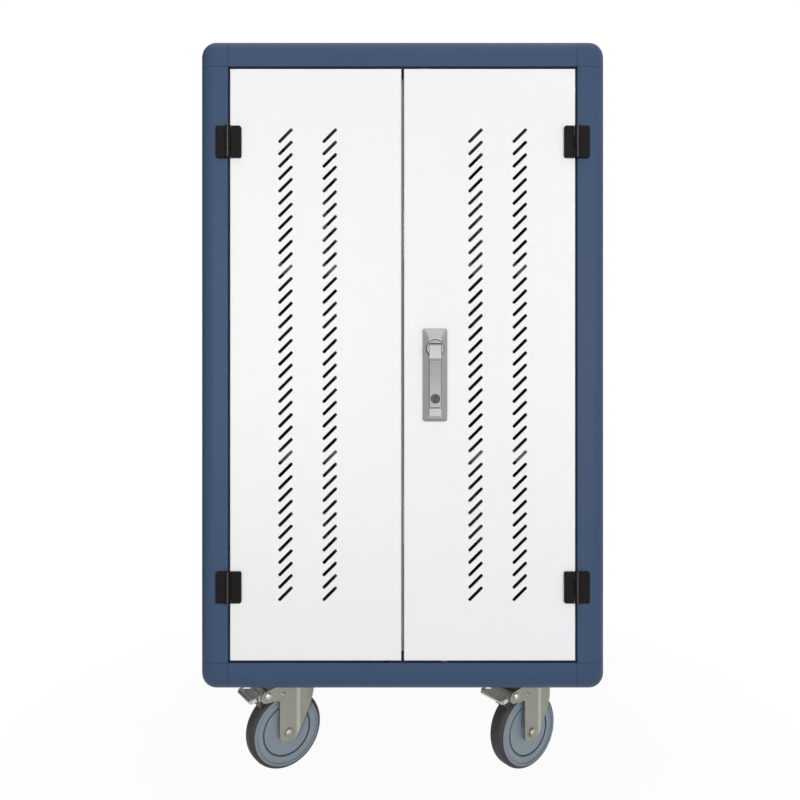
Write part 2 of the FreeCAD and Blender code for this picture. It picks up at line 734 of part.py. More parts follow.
def drawn_across(wire, half):
    """A wire of (up, out) points drawn across the handle's width."""
    return aimed(prism(wire, -half, half), V(0, 1, 0), V(0, 0, 1), V(1, 0, 0), V())


def lock_body():
    """The pyramid-sided escutcheon, bored for the rotor, key barrel, spindle and button."""
    half = BODY_WIDTH / 2
    top = PLATEAU_WIDTH / 2
    foot = rectangle(-half, half, -BODY_BELOW, BODY_ABOVE, BODY_CORNER)
    head = rectangle(-top, top, -PLATEAU_BELOW, PLATEAU_ABOVE, PLATEAU_CORNER)
    rim = foot.translated(V(0, 0, BODY_RIM))
    slope = Part.makeLoft([rim, head.translated(V(0, 0, PLATEAU_RISE))], True, True)
    body = joined(prism(foot, 0, BODY_RIM), slope)
    pocket_half = LEVER_WIDTH / 2 + BUTTON_CLEARANCE
    pocket = rectangle(
        -pocket_half,
        pocket_half,
        -BUTTON_BOTTOM - BUTTON_CLEARANCE,
        -BUTTON_TOP + BUTTON_CLEARANCE,
        BUTTON_CORNER,
    )
    key = V(0, -KEY_BELOW, 0)
    over = V(0, 0, PLATEAU_RISE + OVERRUN)
    return body.cut([
        rod(ROTOR_RADIUS + ROTOR_CLEARANCE, V(0, 0, BODY_RIM), over),
        rod(SPINDLE_HOLE, V(0, 0, -OVERRUN), over),
        rod(KEY_RADIUS + RUNNING_CLEARANCE, key - V(0, 0, OVERRUN), key + over),
        prism(pocket, BODY_RIM / 2, PLATEAU_RISE + OVERRUN),
    ])


def handle_rotor():
    """The round carrier that turns in the body and holds the lever in a channel."""
    disc = rod(ROTOR_RADIUS, V(0, 0, BODY_RIM + ROTOR_CLEARANCE), V(0, 0, LEVER_TOP))
    half = LEVER_WIDTH / 2 + LEVER_SIDE_CLEARANCE
    end = LEVER_PIN_UP + LEVER_HEAD + LEVER_SIDE_CLEARANCE
    channel = box(-half, half, -2 * ROTOR_RADIUS, end, PLATEAU_RISE, LEVER_TOP + OVERRUN)
    pin = V(0, LEVER_PIN_UP, LEVER_PIN_RISE)
    reach = V(LEVER_PIN_LENGTH / 2, 0, 0)
    square = SPINDLE / 2 + SPINDLE_CLEARANCE
    socket = box(-square, square, -square, square, 0, BODY_RIM + ROTOR_CLEARANCE + SPINDLE_SOCKET)
    return disc.cut([channel, socket, rod(LEVER_PIN_RADIUS + SPINDLE_CLEARANCE, pin - reach, pin + reach)])


def handle_lever():
    """The lever: a round head about its pin, a flat, a step and a dished grip with a key window."""
    low = PLATEAU_RISE + LEVER_UNDER
    pin_end = V(LEVER_PIN_UP + LEVER_HEAD, LEVER_PIN_RISE, 0)
    head_top = V(LEVER_PIN_UP, LEVER_TOP, 0)
    head_low = V(LEVER_PIN_UP, low, 0)
    flat_end = V(-LEVER_FLAT_END, LEVER_TOP, 0)
    step_end = V(-LEVER_FLAT_END - LEVER_STEP, LEVER_STEP_RISE, 0)
    tip = V(-LEVER_END, LEVER_END_RISE, 0)
    dish = V((step_end.x + tip.x) / 2, LEVER_DISH_RISE, 0)
    tip_low = V(-LEVER_END, low, 0)
    side = Part.Wire([
        Part.Arc(head_low, pin_end, head_top).toShape(),
        Part.makeLine(head_top, flat_end),
        Part.makeLine(flat_end, step_end),
        Part.Arc(step_end, dish, tip).toShape(),
        Part.makeLine(tip, tip_low),
        Part.makeLine(tip_low, head_low),
    ])
    lever = drawn_across(side, LEVER_WIDTH / 2)
    key = V(0, -KEY_BELOW, 0)
    pin = V(LEVER_WIDTH, LEVER_PIN_UP, LEVER_PIN_RISE)
    pin_far = V(-LEVER_WIDTH, LEVER_PIN_UP, LEVER_PIN_RISE)
    lever = lever.cut([
        rod(KEY_WINDOW_RADIUS, key, key + V(0, 0, 2 * LEVER_TOP)),
        rod(LEVER_PIN_RADIUS + RUNNING_CLEARANCE, pin, pin_far),
    ])
    rims = [e for e in lever.Edges if is_lever_rim(e)]
    return lever.makeFillet(LEVER_EDGE, rims)


def is_lever_rim(edge):
    """Whether an edge is one of the grip's long upper edges."""
    b = edge.BoundBox
    on_side = abs(abs(b.XMin) - LEVER_WIDTH / 2) < 1e-6 and b.XLength < 1e-6
    above = b.ZMin > PLATEAU_RISE + LEVER_UNDER + 1e-6
    return on_side and above and b.YLength > LEVER_STEP / 2 and b.YMax < LEVER_PIN_UP + 1e-6


def lever_pin():
    """The cross pin that the lever lifts about."""
    reach = V(LEVER_PIN_LENGTH / 2, 0, 0)
    middle = V(0, LEVER_PIN_UP, LEVER_PIN_RISE)
    return rod(LEVER_PIN_RADIUS, middle - reach, middle + reach)


def key_cylinder():
    """The key barrel, seen through the lever's window."""
    key = V(0, -KEY_BELOW, 0)
    barrel = rod(KEY_RADIUS, key - V(0, 0, KEY_BACK), key + V(0, 0, PLATEAU_RISE))
    half = KEYWAY_WIDTH / 2
    tall = KEYWAY_HEIGHT / 2
    way = box(-half, half, -tall, tall, PLATEAU_RISE - KEYWAY_DEPTH, PLATEAU_RISE + OVERRUN)
    return barrel.cut(way.translated(key))


def release_button():
    """The push button that lets the lever spring out."""
    half = LEVER_WIDTH / 2
    wire = rectangle(-half, half, -BUTTON_BOTTOM, -BUTTON_TOP, BUTTON_CORNER)
    return prism(wire, BUTTON_FOOT, BUTTON_RISE)


# Rack and pinion: the handle's spindle draws both rods back together

def flank(angle, sign):
    """One involute flank of the pinion from root to tip, as a curve."""
    base = PITCH_RADIUS * math.cos(math.radians(PRESSURE_ANGLE))
    tip = PITCH_RADIUS + TOOTH_ADDENDUM
    rolled = math.tan(math.radians(PRESSURE_ANGLE)) - math.radians(PRESSURE_ANGLE)
    half = (RACK_PITCH / 2 - BACKLASH / 2) / 2 / PITCH_RADIUS + rolled
    points = []
    for step in range(4):
        radius = base + (tip - base) * step / 3
        press = math.acos(min(1.0, base / radius))
        turn = angle + sign * (half - (math.tan(press) - press))
        points.append(V(radius * math.cos(turn), radius * math.sin(turn), 0))
    return points, angle + sign * half


def pinion_wire():
    """Twelve stub involute teeth about the origin, one of them along +X."""
    root = PITCH_RADIUS - TOOTH_DEDENDUM
    tip = PITCH_RADIUS + TOOTH_ADDENDUM
    edges = []
    step = 2 * math.pi / TOOTH_COUNT
    for tooth in range(TOOTH_COUNT):
        angle = tooth * step
        rise, low_turn = flank(angle, -1)
        fall, high_turn = flank(angle, 1)
        start = V(root * math.cos(low_turn), root * math.sin(low_turn), 0)
        end = V(root * math.cos(high_turn), root * math.sin(high_turn), 0)
        up = Part.BSplineCurve()
        up.interpolate(rise)
        down = Part.BSplineCurve()
        down.interpolate(fall[::-1])
        crest = V(tip * math.cos(angle), tip * math.sin(angle), 0)
        valley_turn = angle + step / 2
        valley = V(root * math.cos(valley_turn), root * math.sin(valley_turn), 0)
        next_turn = low_turn + step
        following = V(root * math.cos(next_turn), root * math.sin(next_turn), 0)
        edges += [
            Part.makeLine(start, rise[0]),
            up.toShape(),
            Part.Arc(rise[-1], crest, fall[-1]).toShape(),
            down.toShape(),
            Part.makeLine(fall[0], end),
            Part.Arc(end, valley, following).toShape(),
        ]
    return Part.Wire(edges)


def drive_pinion():
    """The pinion and the square spindle that carries it, through the door to the rotor."""
    pinion = prism(pinion_wire(), -ROD_SET - ROD_THICK, -ROD_SET)
    half = SPINDLE / 2
    out = BODY_RIM + ROTOR_CLEARANCE + SPINDLE_SOCKET - SPINDLE_CLEARANCE
    return joined(pinion, box(-half, half, -half, half, -ROD_SET - ROD_THICK, out))


def rack_rod(length):
    """A toothed rod on the left of the pinion, reaching a given length above its centre."""
    lean = math.tan(math.radians(PRESSURE_ANGLE))
    half_space = (RACK_PITCH / 2 + BACKLASH / 2) / 2
    root = -ROD_NEAR
    crest = -PITCH_RADIUS + TOOTH_ADDENDUM
    at_root = half_space - lean * TOOTH_DEDENDUM
    at_crest = half_space + lean * TOOTH_ADDENDUM
    first = -RACK_TEETH_BACK * RACK_PITCH
    corners = [(crest, first - RACK_PITCH / 2, 0)]
    for space in range(-RACK_TEETH_BACK, RACK_TEETH_AHEAD + 1):
        y = space * RACK_PITCH
        corners += [
            (crest, y - at_crest, 0),
            (root, y - at_root, 0),
            (root, y + at_root, 0),
            (crest, y + at_crest, 0),
        ]
    last = RACK_TEETH_AHEAD * RACK_PITCH + RACK_PITCH / 2
    corners += [
        (crest, last, 0),
        (root, last, 0),
        (root, length, 0),
        (-ROD_FAR, length, 0),
        (-ROD_FAR, first - ROD_TAIL, 0),
        (root, first - ROD_TAIL, 0),
        (root, first - RACK_PITCH / 2, 0),
    ]
    return prism(outline(corners), -ROD_SET - ROD_THICK, -ROD_SET)


def upper_rod():
    """The rod that shoots up into the top rail."""
    return rack_rod(OPENING_TOP - ROD_TIP_CLEARANCE - HANDLE_Z)


def lower_rod():
    """The rod that shoots down into the bottom rail, on the pinion's other side."""
    down = rack_rod(HANDLE_Z - OPENING_BOTTOM - ROD_TIP_CLEARANCE)
    return down.rotated(V(), V(0, 0, 1), 180)


def gear_case():
    """The cast case behind the door that holds the pinion and guides both rods past it."""
    half = ROD_FAR + ROD_CLEARANCE + CASE_WALL
    tall = CASE_HEIGHT / 2
    case = prism(rectangle(-half, half, -tall, tall, CASE_WALL), -CASE_FLOOR - CASE_WALL, -DOOR_SHEET)
    lane = (ROD_FAR + ROD_CLEARANCE, PITCH_RADIUS - TOOTH_ADDENDUM - ROD_CLEARANCE)
    return case.cut([
        rod(PITCH_RADIUS + TOOTH_ADDENDUM + GEAR_CLEARANCE, V(0, 0, -CASE_FLOOR), V()),
        box(-lane[0], -lane[1], -tall, tall, -CASE_FLOOR, 0),
        box(lane[1], lane[0], -tall, tall, -CASE_FLOOR, 0),
    ])


def rod_guides():
    """Straps on the door's back that keep the rods straight, two on each."""
    wide = ROD_WIDTH / 2 + ROD_CLEARANCE
    out = wide + GUIDE_WALL
    back = -ROD_SET - ROD_THICK - ROD_CLEARANCE
    strap = box(-out, out, -GUIDE_HEIGHT / 2, GUIDE_HEIGHT / 2, back - GUIDE_WALL, -DOOR_SHEET)
    lane = box(-wide, wide, -GUIDE_HEIGHT, GUIDE_HEIGHT, back, -ROD_SET + ROD_CLEARANCE)
    strap = strap.cut(lane)
    spots = [
        (-ROD_MID, GUIDE_FROM_PINION),
        (-ROD_MID, DOOR_TOP - GUIDE_FROM_END - HANDLE_Z),
        (ROD_MID, -GUIDE_FROM_PINION),
        (ROD_MID, DOOR_BOTTOM + GUIDE_FROM_END - HANDLE_Z),
    ]
    return [strap.translated(V(x, y, 0)) for x, y in spots]


# Slide bolts behind the left door

def bolt_and_case():
    """The top bolt, drawn back, and the case it slides in."""
    tip = V(BOLT_X, FRONT + BOLT_SET, DOOR_TOP - BOLT_TIP_INSIDE)
    tail = tip - V(0, 0, BOLT_LENGTH)
    root = tip - V(0, 0, KNOB_FROM_TIP)
    bolt = joined(rod(BOLT_RADIUS, tail, tip), rod(KNOB_RADIUS, root, root + V(0, KNOB_REACH, 0)))
    top = DOOR_TOP - BOLT_CASE_FROM_END
    half = BOLT_CASE_WIDTH / 2
    back = FRONT + BOLT_CASE_BACK
    case = box(BOLT_X - half, BOLT_X + half, FRONT + DOOR_SHEET, back, top - BOLT_CASE_HEIGHT, top)
    rims = [e for e in case.Edges if e.BoundBox.YMin > back - 1e-6]
    case = case.makeFillet(BOLT_RADIUS / 2, rims)
    slot_half = KNOB_RADIUS + BOLT_CLEARANCE
    slot = rectangle(-slot_half, slot_half, -slot_half, BOLT_TRAVEL + slot_half, KNOB_RADIUS)
    slot = aimed(prism(slot, 0, KNOB_REACH), V(1, 0, 0), V(0, 0, 1), V(0, -1, 0), root + V(0, KNOB_REACH, 0))
    return bolt, case.cut([rod(BOLT_RADIUS + BOLT_CLEARANCE, tail, tip), slot])


# Shelves, bays and supports

def shelf_angles():
    """Two angles at each level, from a front post to a rear post."""
    foot = ANGLE_FOOT
    wire = outline([
        (0, 0, 0),
        (foot, 0, 0),
        (foot, -ANGLE_SHEET, 0),
        (ANGLE_SHEET, -ANGLE_SHEET, 0),
        (ANGLE_SHEET, -ANGLE_LEG, 0),
        (0, -ANGLE_LEG, 0),
    ])
    length = FRAME_DEPTH - 2 * ANGLE_END
    plain = prism(wire, 0, length)
    angles = []
    for level in SHELF_LEVELS:
        start = V(OPENING_LEFT, FRONT + ANGLE_END + length, level - SHELF_SHEET)
        angle = aimed(plain, V(1, 0, 0), V(0, 0, 1), V(0, -1, 0), start)
        angles.extend([angle, across(angle)])
    return angles


def divider_xs():
    """The middle of each divider along the shelf."""
    return [-SHELF_HALF + BAY_PITCH * bay for bay in range(1, BAY_COUNT)]


def tab_ys():
    """The middle of each divider's two tabs along the depth."""
    return [FRONT + DIVIDER_FRONT + TAB_FROM_END, FRONT + DIVIDER_BACK - TAB_FROM_END]


def shelf(level):
    """A bent sheet with a hem at its front and slots for the dividers' tabs."""
    y0 = FRONT + SHELF_FRONT
    y1 = FRONT + SHELF_BACK
    flat = box(-SHELF_HALF, SHELF_HALF, y0, y1, level - SHELF_SHEET, level)
    hem = box(-SHELF_HALF, SHELF_HALF, y0, y0 + SHELF_SHEET, level - SHELF_HEM, level)
    half_x = DIVIDER_SHEET / 2 + TAB_CLEARANCE
    half_y = TAB_LENGTH / 2 + TAB_CLEARANCE
    slot = box(-half_x, half_x, -half_y, half_y, -2 * SHELF_SHEET, OVERRUN)
    slots = [slot.translated(V(x, y, level)) for x in divider_xs() for y in tab_ys()]
    return joined(flat, hem).cut(slots)


def dividers(level):
    """Upright plates between the bays, tabbed into the shelf."""
    y0 = FRONT + DIVIDER_FRONT
    y1 = FRONT + DIVIDER_BACK
    wire = outline([
        (y0, 0, 0),
        (y1, 0, 0),
        (y1, DIVIDER_HEIGHT, 0),
        (y0, DIVIDER_HEIGHT, DIVIDER_NOSE),
    ])
    half = DIVIDER_SHEET / 2
    plate = aimed(prism(wire, -half, half), V(0, 1, 0), V(0, 0, 1), V(1, 0, 0), V())
    tabs = [box(-half, half, y - TAB_LENGTH / 2, y + TAB_LENGTH / 2, -TAB_DROP, OVERRUN) for y in tab_ys()]
    plate = joined(plate, *tabs)
    return [plate.translated(V(x, 0, level)) for x in divider_xs()]


def device_stop(level):
    """An angle across the shelf that stops the devices short of the socket strip."""
    half = STRIP_LENGTH / 2
    y0 = FRONT + STOP_AT
    wall = box(-half, half, y0, y0 + SHELF_SHEET, level, level + STOP_HEIGHT)
    return joined(wall, box(-half, half, y0, y0 + STOP_FOOT, level, level + SHELF_SHEET))


# Mains supply: a socket strip at each level, and one inlet with a switch in the rear panel

def socket_xs():
    """The middle of each socket along its strip, one behind each bay."""
    step = (STRIP_LENGTH - SOCKET_WIDTH) / BAY_COUNT
    return [(bay - (BAY_COUNT - 1) / 2) * step for bay in range(BAY_COUNT)]


def facing_rear(shape, x, y, z):
    """A shape drawn with X to the left, Y up and Z out, set on a face that looks to the rear."""
    return aimed(shape, V(-1, 0, 0), V(0, 0, 1), V(0, 1, 0), V(x, y, z))


def socket_strip(level):
    """A strip housing behind the device stop, pocketed for its sockets."""
    y0 = FRONT + STOP_AT + SHELF_SHEET
    z0 = level + SHELF_SHEET
    half = STRIP_LENGTH / 2
    housing = box(-half, half, y0, y0 + STRIP_DEPTH, z0, z0 + STRIP_HEIGHT)
    rims = [e for e in housing.Edges if e.BoundBox.YMin > y0 + STRIP_DEPTH - 1e-6]
    housing = housing.makeChamfer(STRIP_BEVEL, rims)
    half_x = SOCKET_WIDTH / 2 + SOCKET_CLEARANCE
    half_z = SOCKET_HEIGHT / 2 + SOCKET_CLEARANCE
    pocket = prism(rectangle(-half_x, half_x, -half_z, half_z), -SOCKET_DEPTH, OVERRUN)
    z = z0 + STRIP_HEIGHT / 2
    return housing.cut([facing_rear(pocket, x, y0 + STRIP_DEPTH, z) for x in socket_xs()])


def sockets(level):
    """Flush socket inserts with three contact slots each."""
    half_x = SOCKET_WIDTH / 2
    half_z = SOCKET_HEIGHT / 2
    insert = prism(rectangle(-half_x, half_x, -half_z, half_z), -SOCKET_DEPTH, 0)
    slots = []
    for step in (-1, 0, 1):
        x = step * CONTACT_STEP
        z = (CONTACT_HEIGHT if step == 0 else 0) - CONTACT_HEIGHT / 2
        slots.append(box(
            x - CONTACT_WIDTH / 2,
            x + CONTACT_WIDTH / 2,
            z - CONTACT_HEIGHT / 2,
            z + CONTACT_HEIGHT / 2,
            -CONTACT_DEPTH,
            OVERRUN,
        ))
    insert = insert.cut(slots)
    y = FRONT + STOP_AT + SHELF_SHEET + STRIP_DEPTH
    z = level + SHELF_SHEET + STRIP_HEIGHT / 2
    return [facing_rear(insert, x, y, z) for x in socket_xs()]


def on_rear(shape):
    """A piece of the mains inlet set on the rear panel's outer face."""
    return facing_rear(shape, INLET_X, REAR - PANEL_SET, INLET_Z)


def power_inlet():
    """A flanged inlet module with a plug cup below and a switch pocket above, and three blades."""
    half_x = INLET_WIDTH / 2
    half_y = INLET_HEIGHT / 2
    inset = INLET_BODY_INSET
    flange = prism(rectangle(-half_x, half_x, -half_y, half_y, inset), 0, INLET_FLANGE)
    body = rectangle(-half_x + inset, half_x - inset, -half_y + inset, half_y - inset)
    module = joined(flange, prism(body, -INLET_BODY_DEPTH, 0))
    cup_x = CUP_WIDTH / 2
    cup_y = CUP_HEIGHT / 2
    cup = outline([
        (-cup_x, -cup_y, 0),
        (cup_x, -cup_y, 0),
        (cup_x, cup_y - CUP_CHAMFER, 0),
        (cup_x - CUP_CHAMFER, cup_y, 0),
        (-cup_x + CUP_CHAMFER, cup_y, 0),
        (-cup_x, cup_y - CUP_CHAMFER, 0),
    ])
    floor = INLET_FLANGE - CUP_DEPTH
    cup = prism(cup.translated(V(0, -CUP_DROP, 0)), floor, INLET_FLANGE + OVERRUN)
    pocket_x = ROCKER_WIDTH / 2 + ROCKER_CLEARANCE
    pocket_y = ROCKER_HEIGHT / 2 + ROCKER_CLEARANCE
    pocket = box(
        -pocket_x,
        pocket_x,
        ROCKER_RAISE - pocket_y,
        ROCKER_RAISE + pocket_y,
        INLET_FLANGE - ROCKER_POCKET,
        INLET_FLANGE + OVERRUN,
    )
    blades = []
    for step in (-1, 0, 1):
        x = step * BLADE_STEP
        y = -CUP_DROP + (BLADE_HEIGHT / 2 if step == 0 else -BLADE_HEIGHT / 2)
        blades.append(box(
            x - BLADE_WIDTH / 2,
            x + BLADE_WIDTH / 2,
            y - BLADE_HEIGHT / 2,
            y + BLADE_HEIGHT / 2,
            floor,
            floor + BLADE_LENGTH,
        ))
    return [on_rear(s) for s in [module.cut([cup, pocket])] + blades]


def power_switch():
    """A rocker with two sloped faces, resting with its upper half pressed in."""
    half = ROCKER_HEIGHT / 2
    rise = math.tan(math.radians(ROCKER_TILT)) * half
    wire = outline([
        (-half, -ROCKER_PIVOT, ROCKER_CORNER),
        (half, -ROCKER_PIVOT, ROCKER_CORNER),
        (half, rise, 0),
        (0, 0, 0),
        (-half, rise, 0),
    ])
    rocker = prism(wire, -ROCKER_WIDTH / 2, ROCKER_WIDTH / 2)
    rocker = rocker.rotated(V(0, -ROCKER_PIVOT / 2, 0), V(0, 0, 1), -ROCKER_TILT)
    rocker = aimed(rocker, V(0, 1, 0), V(0, 0, 1), V(1, 0, 0), V(0, ROCKER_RAISE, INLET_FLANGE))
    return on_rear(rocker)


# Casters: built about a swivel axis on Z with the floor at 0, the wheel trailing towards -X

def set_caster(shape, place):
    """A caster piece turned to its stance and put under the base."""
    return shape.rotated(V(), V(0, 0, 1), CASTER_YAW).translated(place)


def on_axle(shape):
    """A shape turned about Z laid on the wheel's axle, its top towards the near side."""
    return aimed(shape, V(1, 0, 0), V(0, 0, 1), V(0, -1, 0), V(-CASTER_TRAIL, 0, WHEEL_RADIUS))


def caster_plate():
    """The top plate with its ball-race cup and riveted kingpin."""
    top = CASTER_TOP
    half_x = PLATE_WIDTH / 2
    half_y = PLATE_LENGTH / 2
    plate = prism(rectangle(-half_x, half_x, -half_y, half_y, PLATE_CORNER), top - PLATE_SHEET, top)
    under = top - PLATE_SHEET
    crown = FORK_TOP + CROWN_SHEET
    race = crown + RACE_RISE
    pin = KINGPIN_RADIUS
    head = FORK_TOP - RACE_GAP
    hub = turned([
        (0, under + OVERRUN),
        (CUP_RACE_RADIUS, under + OVERRUN),
        (CUP_RACE_RADIUS, race - CUP_RACE_SHEET),
        (CUP_RACE_RADIUS - CUP_RACE_SHEET, race - CUP_RACE_SHEET),
        (CUP_RACE_RADIUS - CUP_RACE_SHEET, race + RACE_GAP),
        (pin, race + RACE_GAP),
        (pin, head),
        (KINGPIN_HEAD_RADIUS, head),
        (KINGPIN_HEAD_RADIUS, head - KINGPIN_HEAD),
        (0, head - KINGPIN_HEAD),
    ])
    return joined(plate, hub)


def domed(radius, rise, rim):
    """A domed head along +Z from the origin: a short round rim under a spherical cap."""
    cap = rise - rim
    ball = (radius ** 2 + cap ** 2) / (2 * cap)
    return rod(radius, V(), V(0, 0, rise)).common(Part.makeSphere(ball, V(0, 0, rise - ball)))


def on_cheek(shape, side, place):
    """A shape along +Z turned to stand out sideways, to -Y for side -1 and to +Y for side 1."""
    return aimed(shape, V(1, 0, 0), V(0, 0, -side), V(0, side, 0), place)


def fork_side_wire():
    """The fork's side outline in (X, Z): a round boss, a sloped leading edge and a pedal arm."""
    axle = -CASTER_TRAIL
    low = WHEEL_RADIUS - FORK_BOSS_DOWN
    top = FORK_TOP + CROWN_SHEET
    return outline([
        (axle - FORK_TRAILING, low, FORK_BOSS_RADIUS),
        (axle + FORK_BOSS_AHEAD, low, FORK_BOSS_RADIUS),
        (axle + FORK_LEADING, FORK_FRONT_UNDER, FORK_CORNER),
        (axle + FORK_LEADING, top, FORK_CORNER / 2),
        (axle - FORK_TRAILING - FORK_CORNER / 2, top, FORK_CORNER),
        (axle - FORK_ARM_END, FORK_ARM_UNDER + 2 * FORK_CORNER, FORK_CORNER),
        (axle - FORK_ARM_END, FORK_ARM_UNDER, FORK_CORNER),
        (axle - FORK_TRAILING, FORK_ARM_UNDER, FORK_CORNER / 2),
    ])


def fork():
    """One pressing: a channel bent round its front and closed on top, trimmed to its side outline."""
    inner = FORK_GAP / 2
    outer = inner + FORK_SHEET
    crown_top = FORK_TOP + CROWN_SHEET
    back = -CASTER_TRAIL - FORK_ARM_END - OVERRUN
    front = -CASTER_TRAIL + FORK_LEADING
    skin = outline([
        (back, -outer, 0),
        (front, -outer, FORK_BEND),
        (front, outer, FORK_BEND),
        (back, outer, 0),
    ])
    hollow = outline([
        (back - OVERRUN, -inner, 0),
        (front - FORK_SHEET, -inner, FORK_BEND - FORK_SHEET),
        (front - FORK_SHEET, inner, FORK_BEND - FORK_SHEET),
        (back - OVERRUN, inner, 0),
    ])
    channel = prism(skin, 0, crown_top).cut(prism(hollow, -OVERRUN, FORK_TOP))
    side = prism(fork_side_wire(), -FORK_GAP, FORK_GAP)
    channel = channel.common(aimed(side, V(1, 0, 0), V(0, 0, 1), V(0, -1, 0), V()))
    race = turned([
        (0, FORK_TOP),
        (CROWN_RADIUS, FORK_TOP),
        (CROWN_RADIUS, crown_top),
        (RACE_RADIUS, crown_top),
        (RACE_RADIUS, crown_top + RACE_RISE),
        (0, crown_top + RACE_RISE),
    ])
    rivets = []
    for way in (-1, 1):
        seat = V(-CASTER_TRAIL - FORK_RIVET_BACK, way * (outer - FORK_SHEET / 2), FORK_RIVET_UP)
        head = domed(FORK_RIVET_RADIUS, FORK_SHEET / 2 + FORK_RIVET_HEAD, FORK_SHEET / 2 + FORK_RIVET_RIM)
        rivets.append(on_cheek(head, way, seat))
    body = joined(channel, race, *rivets)
    bore = rod(KINGPIN_RADIUS + RUNNING_CLEARANCE, V(0, 0, FORK_TOP - OVERRUN), V(0, 0, CASTER_TOP))
    pivot = V(-CASTER_TRAIL - PEDAL_PIVOT_BACK, 0, PEDAL_PIVOT_UP)
    wide = V(0, FORK_GAP, 0)
    hinge = rod(PEDAL_PIN_RADIUS + RUNNING_CLEARANCE, pivot - wide, pivot + wide)
    centre = V(-CASTER_TRAIL, 0, WHEEL_RADIUS)
    axle_hole = rod(AXLE_RADIUS + RUNNING_CLEARANCE, centre - wide, centre + wide)
    return body.cut([bore, hinge, axle_hole])


def axle_bolt():
    """The wheel's axle: a domed head on the near side and a hexagon nut on the far side."""
    outer = FORK_GAP / 2 + FORK_SHEET
    shank = rod(AXLE_RADIUS, V(0, 0, -outer - AXLE_NUT - OVERRUN), V(0, 0, outer + OVERRUN))
    head = domed(AXLE_HEAD_RADIUS, AXLE_HEAD, AXLE_HEAD_RIM).translated(V(0, 0, outer))
    corner = AXLE_NUT_FLATS / math.sqrt(3)
    spokes = [math.radians(60 * side) for side in range(6)]
    nut = outline([(corner * math.cos(a), corner * math.sin(a), 0) for a in spokes])
    return on_axle(joined(shank, head, prism(nut, -outer - AXLE_NUT, -outer)))


def wheel_core():
    """The moulded core: a flat-faced disc with a ring groove on each side and a boss on the axle."""
    bore = AXLE_RADIUS + RUNNING_CLEARANCE
    half = [
        (bore, CORE_BOSS_HALF),
        (CORE_BOSS_RADIUS, CORE_BOSS_HALF),
        (CORE_BOSS_RADIUS, CORE_HALF),
        (GROOVE_RADIUS - GROOVE_WIDTH / 2, CORE_HALF),
        (GROOVE_RADIUS - GROOVE_WIDTH / 2, CORE_HALF - GROOVE_DEPTH),
        (GROOVE_RADIUS + GROOVE_WIDTH / 2, CORE_HALF - GROOVE_DEPTH),
        (GROOVE_RADIUS + GROOVE_WIDTH / 2, CORE_HALF),
        (CORE_RADIUS, CORE_HALF),
    ]
    return on_axle(turned(half + [(r, -z) for r, z in reversed(half)]))


def tyre():
    """The rubber tyre, with round shoulders, bonded to the core."""
    half = TYRE_WIDTH / 2
    wire = outline([
        (CORE_RADIUS, -half, 0),
        (WHEEL_RADIUS, -half, TYRE_SHOULDER),
        (WHEEL_RADIUS, half, TYRE_SHOULDER),
        (CORE_RADIUS, half, 0),
    ])
    profile = aimed(Part.Face(wire), V(1, 0, 0), V(0, 0, 1), V(0, -1, 0), V())
    return on_axle(profile.revolve(V(), V(0, 0, 1), 360))


